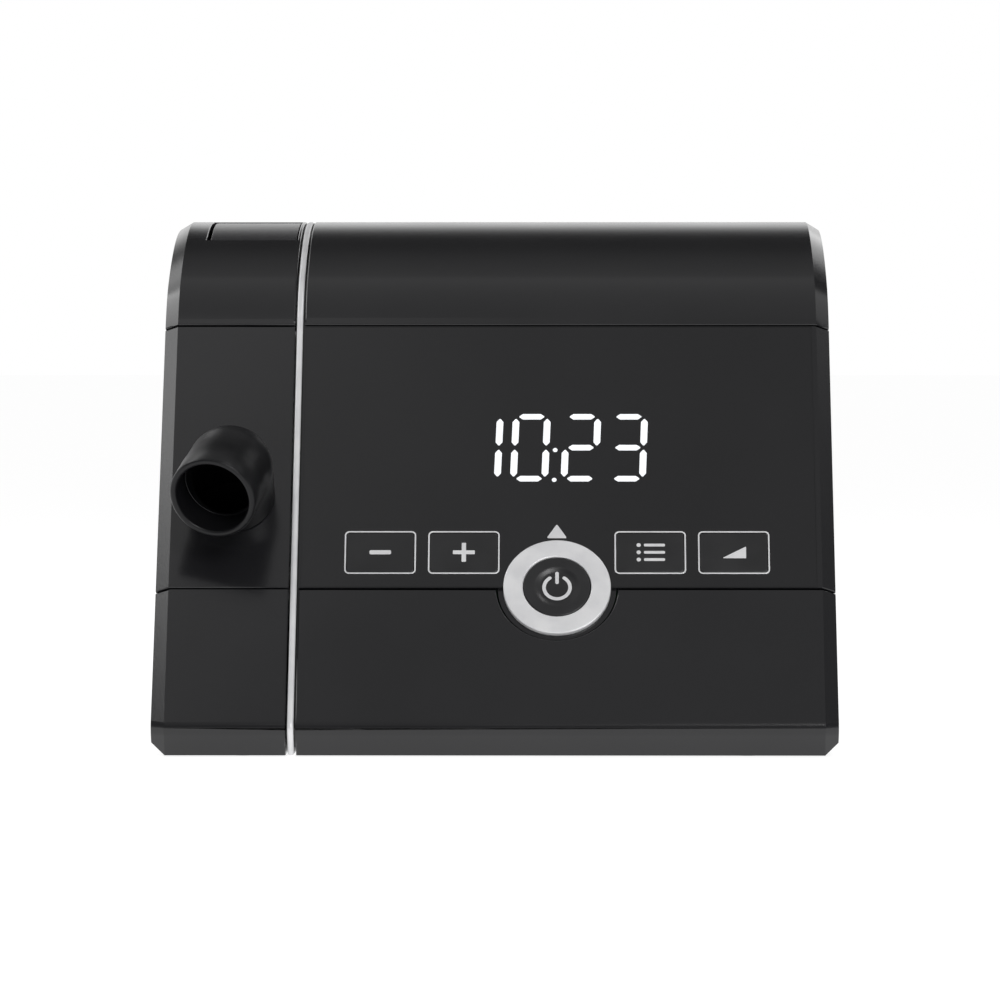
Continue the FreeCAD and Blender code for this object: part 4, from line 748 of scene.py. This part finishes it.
@dataclass
class HoseElbow:
    """The swivelling hose elbow: neck, bent knee and arm as one wall with a rounded lip.

    The neck's and the arm's axes meet at the corner, which across, row and rise place on the face. The bend
    is the angle between them, and the swing turns the falling arm to the left. Radius is the tube's, spigot
    the cuff's outside, rim the retaining rim's inside the case, and deep the bore's behind the cuff.
    """

    across: float = -66.5
    row: float = 67.0
    rise: float = 13.5
    reach: float = 16.0
    bend: float = 61.0
    swing: float = 15.5
    radius: float = 10.8
    spigot: float = 11.0
    bore: float = 9.35
    neck: float = 10.2
    rim: float = 11.6
    rim_rise: float = -7.3
    foot_rise: float = -8.9
    fillet: float = 1.5
    blend: float = 2.2
    lip: float = 0.8
    edge: float = 0.25
    cuff: float = 8.6
    ramp: float = 0.3
    deep: float = 9.23
    deep_ramp: float = 0.1
    turns: int = 128
    knee_steps: int = 25
    lip_steps: int = 9

    def directions(self) -> tuple[np.ndarray, np.ndarray, np.ndarray]:
        """Work out the elbow's directions from its bend and swing.

        Returns:
            The arm's direction, the outward bisector and the sideways direction.
        """
        bend, swing = math.radians(self.bend), math.radians(self.swing)
        aside = -math.sin(swing) * FACE_SIDE - math.cos(swing) * FACE_UP
        arm = math.cos(bend) * FACE_OUT + math.sin(bend) * aside
        outward = FACE_OUT - arm
        side = np.cross(FACE_OUT, arm)
        return arm, outward / np.linalg.norm(outward), side / np.linalg.norm(side)

    def lift(self, axis: np.ndarray) -> np.ndarray:
        """Take the part of the outward bisector that stands square on a run, with length 1.

        Args:
            axis: the run's direction.

        Returns:
            The in-plane direction across the run.
        """
        outward = self.directions()[1]
        square = outward - (outward @ axis) * axis
        return square / np.linalg.norm(square)

    def angles(self) -> np.ndarray:
        """Give the headings round the tube as a middle axis."""
        return np.linspace(0, 2 * math.pi, self.turns, endpoint=False)[None, :, None]

    def straight(self, sizes: list[tuple[float, float]], axis: np.ndarray) -> np.ndarray:
        """Make rows of circles: corner + along * axis + radius * (cos * lift + sin * side).

        Args:
            sizes: distance along the axis from the corner, and radius, of each row.
            axis: the run's direction.

        Returns:
            Rows of points in mm.
        """
        around = np.cos(self.angles()) * self.lift(axis) + np.sin(self.angles()) * self.directions()[2]
        along, radius = np.array(sizes)[:, :1, None], np.array(sizes)[:, 1:, None]
        return self.corner + along * axis + radius * around

    @property
    def corner(self) -> np.ndarray:
        """The point where the neck's and the arm's axes meet."""
        return on_face(np.array(self.across), np.array(self.row), self.rise)

    def knee(self, radius: float, fillet: float) -> np.ndarray:
        """Bend the tube about a pivot on the bisector, (offset - pivot radius) / cos(half bend) out.

        The offset is radius * cos of the angle round the tube. The pivot radius is a smooth maximum of the
        offset and the fillet, so the outer side is a sphere and the inner side a rounded fold.

        Args:
            radius: the tube's radius.
            fillet: the radius of the inner fold.

        Returns:
            Rows of points in mm.
        """
        outward, side = self.directions()[1:]
        turn = np.linspace(0, math.radians(self.bend), self.knee_steps)[:, None, None]
        half = math.radians(self.bend) / 2
        offset = radius * np.cos(self.angles())
        pivot = (offset + fillet + np.sqrt((offset - fillet) ** 2 + self.blend ** 2)) / 2
        spoke = np.cos(turn) * self.lift(FACE_OUT) + np.sin(turn) * FACE_OUT
        aside = radius * np.sin(self.angles()) * side
        return self.corner + (offset - pivot) / math.cos(half) * outward + aside + pivot * spoke

    def neck_sizes(self) -> list[tuple[float, float]]:
        """List the neck's rows, from the bore inside the case, round the retaining rim and up to the knee.

        Returns:
            Distance from the corner and radius of each row.
        """
        foot, rim, top = (level - self.rise for level in (self.foot_rise, self.rim_rise, self.edge))
        return [(foot, self.bore), (foot, self.rim - self.edge), (foot + self.edge, self.rim),
                (rim, self.rim), (rim, self.neck), (top, self.neck),
                (top, self.radius - self.edge), (top + self.edge, self.radius)]

    def mouth_sizes(self) -> list[tuple[float, float]]:
        """List the arm's rows: the cuff, its half-round lip and the way back in to the deeper bore.

        Returns:
            Distance from the corner and radius of each row.
        """
        start, end = self.reach - self.cuff, self.reach - self.lip
        middle, half = (self.spigot + self.bore) / 2, (self.spigot - self.bore) / 2
        lip = [(end + self.lip * math.sin(heading), middle + half * math.cos(heading))
               for heading in np.linspace(0, math.pi, self.lip_steps)]
        return [(start, self.radius), (start + self.ramp, self.spigot), *lip,
                (start, self.bore), (start - self.deep_ramp, self.deep)]

    def build(self, paints: Paints) -> None:
        """Join neck, knee, arm, lip and bore into one closed wall.

        Args:
            paints: the finishes.
        """
        arm, inner_fillet = self.directions()[0], self.fillet + self.radius - self.deep
        points = np.concatenate([self.straight(self.neck_sizes(), FACE_OUT),
                                 self.knee(self.radius, self.fillet),
                                 self.straight(self.mouth_sizes(), arm),
                                 self.knee(self.deep, inner_fillet)[::-1]])
        faces = grid_faces(len(points), self.turns, True).tolist()
        Piece("hose_elbow", "elbow", Slot.ELBOW, ("outlet_elbow",), smooth=35).write(points, faces, paints)


# ---------------------------------------------------------------- ring, button and keys

@dataclass
class RingAndButton:
    """The silver ring with its pointer and the dished power button inside it.

    Seat, lows and highs are heights over the face; below it they are negative.
    """

    across: float = 15.4
    row: float = 40.5
    outer: float = 13.45
    inner: float = 8.55
    proud: float = 0.5
    seat: float = -1.2
    round_off: float = 0.35
    button: float = 8.45
    button_proud: float = 0.3
    dish: float = 0.4
    dish_start: float = 6.0
    dish_end: float = 4.1
    stem: float = 2.5
    stem_low: float = -6.0
    flange: float = 9.95
    flange_low: float = -3.8
    flange_high: float = -2.6
    sign_radius: float = 3.25
    sign_gap: float = 33.0
    stroke: float = 0.9
    bar_half: float = 1.75
    bar_middle: float = 2.75
    bar_corner: float = 0.4
    pointer_half: float = 2.6
    pointer_height: float = 4.1
    pointer_across: float = 15.35
    pointer_row: float = 54.7
    pointer_corner: float = 0.25
    slope: float = 0.03
    ring_turns: int = 160
    button_turns: int = 128
    edge_steps: int = 7
    dish_steps: int = 12
    sign_steps: int = 49

    def rounded_edge(self, radius: float, rise: float, start: float) -> np.ndarray:
        """Give the quarter circle of a profile's edge about its centre, from a heading in degrees."""
        return arc_points((radius, rise), self.round_off, start, start + 90, self.edge_steps)

    def build(self, paints: Paints) -> None:
        """Turn the ring and the button, and lay the standby sign and the pointer on.

        Args:
            paints: the finishes.
        """
        top = self.proud - self.round_off
        ring = np.concatenate([[[self.inner, self.seat], [self.outer, self.seat]],
                               self.rounded_edge(self.outer - self.round_off, top, 0),
                               self.rounded_edge(self.inner + self.round_off, top, 90)])
        Piece("silver_ring", "housing", Slot.SILVER, ("button_ring",)).lathe(
            ring, self.across, self.row, self.ring_turns, True, paints)
        Piece("standby_button", "power_button", Slot.KEY, ("power_button",), smooth=40).lathe(
            self.button_profile(), self.across, self.row, self.button_turns, False, paints)
        level = self.button_proud - self.dish
        Piece("standby_sign", "power_button", Slot.SILVER).raised(
            self.sign(), level - SUNK, level + INK, self.slope, paints)
        foot, half = np.array([self.pointer_across, self.pointer_row]), self.pointer_half
        corners = foot + np.array([[-half, 0.0], [half, 0.0], [0.0, self.pointer_height]])
        Piece("level_pointer", "housing", Slot.SILVER).raised(
            [rounded_outline(corners, self.pointer_corner)], -SUNK, INK, self.slope, paints)

    def button_profile(self) -> np.ndarray:
        """Walk the button's profile: stem, flange, cap and a dish that sinks by step * step * (3 - 2 * step).

        Returns:
            Radius and rise of each point.
        """
        step = np.linspace(0, 1, self.dish_steps)
        dish = np.stack([self.dish_start + (self.dish_end - self.dish_start) * step,
                         self.button_proud - self.dish * step * step * (3 - 2 * step)], axis=1)
        stem = [[0, self.stem_low], [self.stem, self.stem_low], [self.stem, self.flange_low],
                [self.flange, self.flange_low], [self.flange, self.flange_high],
                [self.button, self.flange_high]]
        shoulder = self.rounded_edge(self.button - self.round_off, self.button_proud - self.round_off, 0)
        return np.concatenate([stem, shoulder, dish, [[0, self.button_proud - self.dish]]])

    def sign(self) -> list[np.ndarray]:
        """Draw the standby sign: a ring open at its top with round ends, and a bar in the opening.

        Returns:
            The outlines of ring and bar in face coordinates.
        """
        centre, half = np.array([self.across, self.row]), self.stroke / 2
        start, end = 90 + self.sign_gap, 450 - self.sign_gap
        first, last = (self.sign_radius * np.array([math.cos(turn), math.sin(turn)])
                       for turn in (math.radians(start), math.radians(end)))
        long, short = self.sign_steps, self.edge_steps
        loop = np.concatenate([arc_points((0, 0), self.sign_radius + half, start, end, long),
                               arc_points(tuple(last), half, end, end + 180, short)[1:-1],
                               arc_points((0, 0), self.sign_radius - half, end, start, long),
                               arc_points(tuple(first), half, start + 180, start + 360, short)[1:-1]])
        bar = rounded_outline(box_corners(half, self.bar_half) + [0, self.bar_middle], self.bar_corner)
        return [loop + centre, bar + centre]


@dataclass
class KeyPad:
    """One flush key: rounded cap, flange behind the panel and stem, with its printed line and sign.

    Lows and highs are heights over the face; below it they are negative.
    """

    name: str
    across: float
    signs: list[np.ndarray]
    row: float = 50.55
    width: float = 16.9
    height: float = 11.35
    corner: float = 0.8
    corner_steps: int = 8
    crown: float = 0.1
    crown_rows: tuple[float, ...] = (0.985, 0.95, 0.85, 0.6, 0.3, 0.0)
    edge: float = 0.04
    edge_low: float = -0.15
    flange: float = 1.0
    flange_low: float = -3.8
    flange_high: float = -2.6
    stem: float = 2.5
    stem_low: float = -6.5
    line: float = 0.36
    line_margin: float = 0.5
    line_corner: float = 1.2
    sign_sunk: float = 0.12
    sign_slope: float = 0.02

    def outline(self, margin: float, radius: float) -> np.ndarray:
        """Give the key's rounded outline about its centre, grown by a margin.

        Args:
            margin: how far the outline stands outside the cap.
            radius: the radius of its corners.

        Returns:
            The outline's points.
        """
        corners = box_corners(self.width / 2 + margin, self.height / 2 + margin)
        return rounded_outline(corners, radius, self.corner_steps)

    def build(self, paints: Paints) -> None:
        """Make the cap, then print the line round it and the sign on it.

        Args:
            paints: the finishes.
        """
        self.pad(paints)
        self.printed_line(paints)
        Piece(self.name + "_sign", self.name, Slot.SILVER).raised(
            [sign + [self.across, self.row] for sign in self.signs], self.crown - self.sign_sunk,
            self.crown + THIN_INK, self.sign_slope, paints)

    def pad(self, paints: Paints) -> None:
        """Stack closed outlines from the stem to the top, which rises by crown * (1 - size ** 4).

        Args:
            paints: the finishes.
        """
        half = np.array([self.width, self.height]) / 2
        cap = self.outline(0.0, self.corner)
        plate = self.outline(self.flange, self.corner)
        angle = np.arctan2(cap[:, 1], cap[:, 0])
        stem = self.stem * np.stack([np.cos(angle), np.sin(angle)], axis=1)
        rows = [(stem * 0, self.stem_low), (stem, self.stem_low), (stem, self.flange_low),
                (plate, self.flange_low), (plate, self.flange_high), (cap, self.flange_high),
                (cap, self.edge_low), (cap * (1 - self.edge / half), -self.edge)]
        rows += [(cap * size, self.crown * (1 - size ** 4)) for size in self.crown_rows]
        points = np.stack([on_face(self.across + flat[:, 0], self.row + flat[:, 1], rise)
                           for flat, rise in rows])
        faces = grid_faces(len(rows), len(cap), False).tolist()
        Piece(self.name + "_pad", self.name, Slot.KEY, (self.name,), smooth=40).write(points, faces, paints)

    def printed_line(self, paints: Paints) -> None:
        """Carry the line's section, a low bar with slanted shoulders, round the key.

        Args:
            paints: the finishes.
        """
        outer = self.outline(self.line_margin, self.line_corner) + [self.across, self.row]
        inset = outline_insets(outer)
        band = [(0.0, -SUNK), (0.0, INK / 2), (INK, INK), (self.line - INK, INK), (self.line, INK / 2),
                (self.line, -SUNK)]
        points = np.stack([on_face(*(outer + inset * step).T, rise) for step, rise in band])
        faces = grid_faces(len(band), len(outer), True).tolist()
        Piece(self.name + "_line", "housing", Slot.SILVER).write(points, faces, paints)


@dataclass
class KeyRow:
    """The four keys and their signs: minus, plus, list and rising ramp."""

    minus_across: float = -28.9
    plus_across: float = -7.95
    menu_across: float = 38.75
    ramp_across: float = 59.7
    minus_half: tuple[float, float] = (2.7, 0.6)
    minus_corner: float = 0.35
    plus_half: tuple[float, float] = (2.75, 0.55)
    plus_corner: float = 0.15
    bar_half: tuple[float, float] = (2.65, 0.4)
    bar_shift: float = 1.05
    bar_corner: float = 0.3
    bar_pitch: float = 2.1
    dot: float = 0.55
    dot_steps: int = 20
    dot_shift: float = -2.9
    ramp_half: tuple[float, float] = (3.05, 1.7)
    ramp_corner: float = 0.12

    def minus(self) -> list[np.ndarray]:
        """Draw one bar."""
        return [rounded_outline(box_corners(*self.minus_half), self.minus_corner)]

    def plus(self) -> list[np.ndarray]:
        """Draw two crossed bars as one outline: a quarter of its corners, turned by right angles.

        Returns:
            The outline in a list.
        """
        arm, half = self.plus_half
        quarter = np.array([[arm, -half], [arm, half], [half, half]])
        turn = np.array([[0.0, 1.0], [-1.0, 0.0]])
        corners = [quarter @ np.linalg.matrix_power(turn, times) for times in range(4)]
        return [rounded_outline(np.concatenate(corners), self.plus_corner)]

    def menu(self) -> list[np.ndarray]:
        """Draw three bars with a dot before each.

        Returns:
            The outlines of bars and dots.
        """
        levels = (-self.bar_pitch, 0.0, self.bar_pitch)
        bars = [rounded_outline(box_corners(*self.bar_half) + [self.bar_shift, level], self.bar_corner)
                for level in levels]
        dot = disc_outline(self.dot, self.dot_steps)
        return bars + [dot + [self.dot_shift, level] for level in levels]

    def ramp(self) -> list[np.ndarray]:
        """Draw a wedge that rises to the right."""
        wide, high = self.ramp_half
        return [rounded_outline(np.array([[-wide, -high], [wide, -high], [wide, high]]), self.ramp_corner)]

    def build(self, paints: Paints) -> None:
        """Build the keys from left to right.

        Args:
            paints: the finishes.
        """
        KeyPad("key_minus", self.minus_across, self.minus()).build(paints)
        KeyPad("key_plus", self.plus_across, self.plus()).build(paints)
        KeyPad("key_menu", self.menu_across, self.menu()).build(paints)
        KeyPad("key_ramp", self.ramp_across, self.ramp()).build(paints)


# ---------------------------------------------------------------- clock

@dataclass
class ClockDigits:
    """Four seven-segment digits and a colon, lit through the overlay; the middle is their row on the face."""

    middle: float = 81.25
    half_height: float = 9.15
    half_width: float = 3.96
    slant: float = 0.036
    bar: float = 3.35
    post: float = 4.1
    thick: float = 0.82
    broad: float = 0.86
    taper: float = 1.1
    places: tuple[float, ...] = (-3.31, 8.66, 21.45, 33.3)
    shown: tuple[str, ...] = ("bc", "abcdef", "abged", "abgcd")
    corner: float = 0.28
    dot: float = 0.6
    dot_steps: int = 24
    dot_places: tuple[tuple[float, float], ...] = ((14.92, 80.55), (14.67, 71.75))
    slope: float = 0.02

    def segment(self, letter: str) -> np.ndarray:
        """Give one segment's outline about the digit's centre.

        Args:
            letter: the segment's usual letter, a to g.

        Returns:
            The outline's points.
        """
        level = {"a": 1, "g": 0, "d": -1}
        if letter in level:
            flat = bar_corners(self.bar, self.thick, self.taper)
            return rounded_outline(flat, self.corner) + [0, level[letter] * self.half_height]
        side = 1 if letter in "bc" else -1
        lift = self.half_height / 2 if letter in "bf" else -self.half_height / 2
        post = bar_corners(self.post, self.broad, self.taper)[:, ::-1] * [-1, 1]
        return rounded_outline(post, self.corner) + [side * self.half_width, lift]

    def build(self, paints: Paints) -> None:
        """Lay every lit segment on the overlay, leaning to the right as it rises.

        Args:
            paints: the finishes.
        """
        outlines = [self.segment(letter) + [place, 0] for place, letters in zip(self.places, self.shown)
                    for letter in letters]
        outlines = [flat + np.stack([flat[:, 1] * self.slant, np.full(len(flat), self.middle)], axis=1)
                    for flat in outlines]
        outlines += [disc_outline(self.dot, self.dot_steps) + place for place in self.dot_places]
        Piece("clock_digits", "housing", Slot.DISPLAY).raised(outlines, -SUNK, THIN_INK, self.slope, paints)


# ---------------------------------------------------------------- silver strip

@dataclass
class SilverStrip:
    """The silver band round the case between the main unit and the side module.

    Left, right and seat are places across the case. Foil, groove, band and crown are depths under its
    outline.
    """

    left: float = -51.2
    right: float = -49.65
    seat: float = -49.15
    foil: float = 0.45
    groove: float = 2.0
    band: float = 6.0
    crown: float = 0.12
    crown_steps: int = 9
    edge: float = 0.22
    low: float = 0.3
    top: float = 135.0
    back: float = 90.0
    chin_end: float = -85.0
    chin_steps: int = 8
    brow: float = 36.0
    brow_start: tuple[float, float] = (-27.58, 106.9)
    brow_steps: int = 26
    crest: float = 138.6
    crest_middle: float = 49.5
    crest_steps: int = 40
    rear: float = 28.0
    rear_steps: int = 40
    heel: float = 7.0

    def profile(self) -> np.ndarray:
        """Walk the case's side outline: chin, face, brow arc, crown arc, flat, rear arc, back and heel.

        The crown arc starts where it touches the brow arc: on the line through both centres.

        Returns:
            Points y and z, counter-clockwise seen from the right.
        """
        brow_centre = np.array(self.brow_start) - self.brow * FACE_OUT[1:]
        crest_centre = np.array([self.crest_middle, self.top - self.crest])
        joint = math.degrees(math.atan2(*(brow_centre - crest_centre)[::-1]))
        face_heading = 180 - math.degrees(LEAN)
        rear_centre = (self.back - self.rear, self.top - self.rear)
        return np.concatenate([
            self.chin(),
            arc_points(tuple(brow_centre), self.brow, face_heading, joint, self.brow_steps),
            arc_points(tuple(crest_centre), self.crest, joint, 90, self.crest_steps)[1:],
            arc_points(rear_centre, self.rear, 90, 0, self.rear_steps),
            [[self.back, self.low + self.heel], [self.back - self.heel, self.low]]])[::-1]

    def chin(self) -> np.ndarray:
        """Give the chin's lower end and the rounding between its lower wall and the face.

        Returns:
            Points y and z from the underside to the face.
        """
        corner, end = FACE_FOOT[1:], np.array([self.chin_end, self.low])
        back = (end - corner) / np.linalg.norm(end - corner)
        arc = corner_arcs(corner[None], back[None], FACE_UP[None, 1:], CHIN_REACH, self.chin_steps)
        return np.concatenate([end[None], arc])

    def carry(self, name: str, slot: Slot, section: list[tuple[float, float]], paints: Paints) -> None:
        """Carry a section along the outline: outline + mitre * depth at each side place.

        Args:
            name: the new piece's name.
            slot: its finish.
            section: side place and depth of each of the section's points, in mm.
            paints: the finishes.
        """
        path = self.profile()
        corners = np.array(section)
        flat = path[None] + outline_insets(path)[None] * corners[:, 1, None, None]
        side = np.broadcast_to(corners[:, :1], flat.shape[:2])
        points = np.concatenate([side[..., None], flat], axis=2)
        faces = grid_faces(len(corners), len(path), True).tolist()
        Piece(name, "housing", slot, ("trim_strip",), smooth=40).write(points, faces, paints)

    def build(self, paints: Paints) -> None:
        """Lay the silver crown on a dark foot that clips between the case halves; the foot is dark so that its
        sides and seat in the grooves give painted shade there.

        Args:
            paints: the finishes.
        """
        half = (self.right - self.left) / 2
        across = np.linspace(-1, 1, self.crown_steps)
        top = [(self.left + half + part * (half - self.edge), self.crown * part ** 2) for part in across]
        shoulder = self.crown + self.edge
        self.carry("silver_strip", Slot.SILVER,
                   [(self.left, self.foil), (self.left, shoulder)] + top
                   + [(self.right, shoulder), (self.right, self.foil)], paints)
        # The foot is dark case plastic so that the grooves beside the crown show painted shade.
        self.carry("strip_foot_groove_shade", Slot.CASE,
                   [(self.left, self.band), (self.left, self.foil), (self.right, self.foil),
                    (self.right, self.groove), (self.seat, self.groove), (self.seat, self.band)], paints)


# ---------------------------------------------------------------- case

@dataclass
class Case:
    """The moulded shells and the other rounded pieces: each one's node, body, slot and radius."""

    shells: tuple[tuple[str, str, Slot, float], ...] = (
        ("lower_housing", "housing", Slot.CASE, 0.3),
        ("upper_housing", "housing", Slot.CASE, 0.2),
        ("top_cover", "housing", Slot.CASE, 0.3),
        ("module_lower_shell", "side_module", Slot.CASE, 0.3),
        ("module_front_shell", "side_module", Slot.CASE, 0.25),
        ("module_top_cover", "side_module", Slot.CASE, 0.3),
        ("release_button", "release_button", Slot.CASE, 0.25),
        ("filter_door", "filter_door", Slot.CASE, 0.25),
        ("main_feet", "housing", Slot.RUBBER, 0.3),
        ("module_feet", "side_module", Slot.RUBBER, 0.3),
        ("sd_card", "sd_card", Slot.CARD, 0.15),
    )

    def build(self, paints: Paints) -> None:
        """Round each piece in turn; the plate that fingers press gets the soft-touch finish.

        Args:
            paints: the finishes.
        """
        tree = solids_tree()
        for node, body, slot, radius in self.shells:
            grip = node == "release_button"
            SoftenedShell(node + "_soft", body, slot, (node,), grip=grip, radius=radius).build(tree, paints)


# ---------------------------------------------------------------- studio

@dataclass(frozen=True)
class Lamp:
    """A soft rectangular lamp: its place and its width and height in metres, and its power in watts."""

    name: str
    spot: tuple[float, float, float]
    size: tuple[float, float]
    power: float
    aim: tuple[float, float, float] = (0.0, 0.0, 0.07)

    def hang(self) -> None:
        """Hang the lamp in its place and turn it to the object's middle."""
        data = bpy.data.lights.new(self.name, "AREA")
        data.shape = "RECTANGLE"
        data.size, data.size_y = self.size
        data.energy = self.power
        lamp = bpy.data.objects.new(self.name, data)
        lamp.location = self.spot
        lamp.rotation_euler = (Vector(self.aim) - Vector(self.spot)).to_track_quat("-Z", "Y").to_euler()
        bpy.context.scene.collection.objects.link(lamp)


@dataclass
class Studio:
    """A pale floor, a white surround, a grey ceiling, soft lamps and the camera.

    Lengths are in metres, and the camera's lens and sensor in millimetres. The surround's levels are given by
    height, 0 at the horizon and 1 straight up, for its front half and for the half behind the object.
    """

    floor_half: float = 40.0
    floor_glow: float = 0.88
    floor_colour: float = 0.35
    front: tuple[tuple[float, float], ...] = (
        (0.0, 0.30), (0.25, 0.12), (0.55, 0.25), (0.80, 0.36), (1.0, 0.42))
    behind: tuple[tuple[float, float], ...] = (
        (0.0, 1.0), (0.22, 1.0), (0.28, 0.85), (0.33, 0.56), (0.37, 0.28), (0.43, 0.07), (0.50, 0.03),
        (0.62, 0.05), (0.77, 0.17), (0.88, 0.38), (1.0, 0.42))
    blend: tuple[float, float] = (-0.15, 0.1)
    lamps: tuple[Lamp, ...] = (
        Lamp("key_left", (-1.02, 0.19, 1.06), (1.0, 0.42), 4.2),
        Lamp("rear_left", (-0.75, 0.95, 1.05), (0.8, 0.5), 1.5),
        Lamp("edge_right", (1.02, 0.30, 1.12), (0.8, 0.36), 0.6),
        Lamp("rear_right", (0.52, 1.3, 0.68), (0.6, 0.4), 0.7),
        Lamp("glint_right", (0.585, -0.045, 1.48), (0.25, 0.25), 1.6),
        Lamp("front_key", (-0.45, -0.62, 1.45), (0.7, 0.6), 0.5),
        Lamp("front_fill", (0.6, -1.7, 1.0), (0.6, 0.6), 12.0),
    )
    lens: float = 227.4
    sensor: float = 36.0
    eye: tuple[float, float, float] = (0.0156, -1.645, 0.098)
    gaze: tuple[float, float, float] = (-0.00916, 0.99971, -0.02211)

    def floor(self) -> None:
        """Lay a pale floor at the feet: part even white light, part matt white that keeps the shadow."""
        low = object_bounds()[0][2]
        half = self.floor_half
        mesh = bpy.data.meshes.new("floor")
        mesh.from_pydata([(-half, -half, low), (half, -half, low), (half, half, low), (-half, half, low)], [],
                         [(0, 1, 2, 3)])
        material = bpy.data.materials.new("floor_paper")
        material.use_nodes = True
        tree = material.node_tree
        tree.nodes.clear()
        matt = add_node(tree, "ShaderNodeBsdfDiffuse", {"Color": (*[self.floor_colour] * 3, 1.0)})
        glow = add_node(tree, "ShaderNodeEmission", {"Color": (1, 1, 1, 1), "Strength": self.floor_glow})
        both = add_node(tree, "ShaderNodeAddShader", {}, {0: matt.outputs[0], 1: glow.outputs[0]})
        add_node(tree, "ShaderNodeOutputMaterial", {}, {"Surface": both.outputs[0]})
        mesh.materials.append(material)
        floor = bpy.data.objects.new("floor", mesh)
        bpy.context.scene.collection.objects.link(floor)
        floor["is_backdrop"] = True

    def world(self) -> None:
        """Surround the stage: white low down behind it, a dark band above, and a grey ceiling in front."""
        world = bpy.data.worlds.new("studio")
        bpy.context.scene.world = world
        world.use_nodes = True
        tree = world.node_tree
        tree.nodes.clear()
        place = add_node(tree, "ShaderNodeTexCoord").outputs["Generated"]
        split = add_node(tree, "ShaderNodeSeparateXYZ", {}, {"Vector": place})
        sides = []
        for stops in (self.front, self.behind):
            ramp = add_node(tree, "ShaderNodeValToRGB", {}, {"Fac": split.outputs["Z"]})
            elements = ramp.color_ramp.elements
            for index, (where, level) in enumerate(stops):
                stop = elements[index] if index < 2 else elements.new(where)
                stop.position, stop.color = where, (level, level, level, 1)
            sides.append(ramp.outputs["Color"])
        depth = add_node(tree, "ShaderNodeMapRange", {"From Min": self.blend[0], "From Max": self.blend[1]},
                         {"Value": split.outputs["Y"]}).outputs["Result"]
        both = add_node(tree, "ShaderNodeMix", {"data_type": "RGBA"}, {0: depth, 6: sides[0], 7: sides[1]})
        path = add_node(tree, "ShaderNodeLightPath")
        dim = add_node(tree, "ShaderNodeBackground", {"Strength": 1.0}, {"Color": both.outputs[2]})
        white = add_node(tree, "ShaderNodeBackground", {"Color": (1, 1, 1, 1), "Strength": 1.0})
        mix = add_node(tree, "ShaderNodeMixShader", {}, {0: path.outputs["Is Camera Ray"],
                                                         1: dim.outputs[0], 2: white.outputs[0]})
        add_node(tree, "ShaderNodeOutputWorld", {}, {"Surface": mix.outputs[0]})

    def camera(self) -> None:
        """Stand a long lens in front of the object, a little to the right of its middle and above it."""
        data = bpy.data.cameras.new("camera")
        data.lens, data.sensor_width = self.lens, self.sensor
        camera = bpy.data.objects.new("camera", data)
        camera.location = self.eye
        camera.rotation_euler = Vector(self.gaze).to_track_quat("-Z", "Y").to_euler()
        bpy.context.scene.collection.objects.link(camera)
        bpy.context.scene.camera = camera

    def build(self) -> None:
        """Set the stage, the lamps and the camera."""
        bpy.context.scene.view_settings.view_transform = "Standard"
        self.floor()
        self.world()
        for lamp in self.lamps:
            lamp.hang()
        self.camera()


def main() -> None:
    """Build every piece, the finishes and the studio."""
    logging.basicConfig(level=logging.INFO, format="%(message)s")
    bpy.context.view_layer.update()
    Studio().build()
    paints = Paints()
    paints.dress_nodes()
    Case().build(paints)
    SilverStrip().build(paints)
    RingAndButton().build(paints)
    KeyRow().build(paints)
    ClockDigits().build(paints)
    HoseElbow().build(paints)


if __name__ == "__main__":
    main()
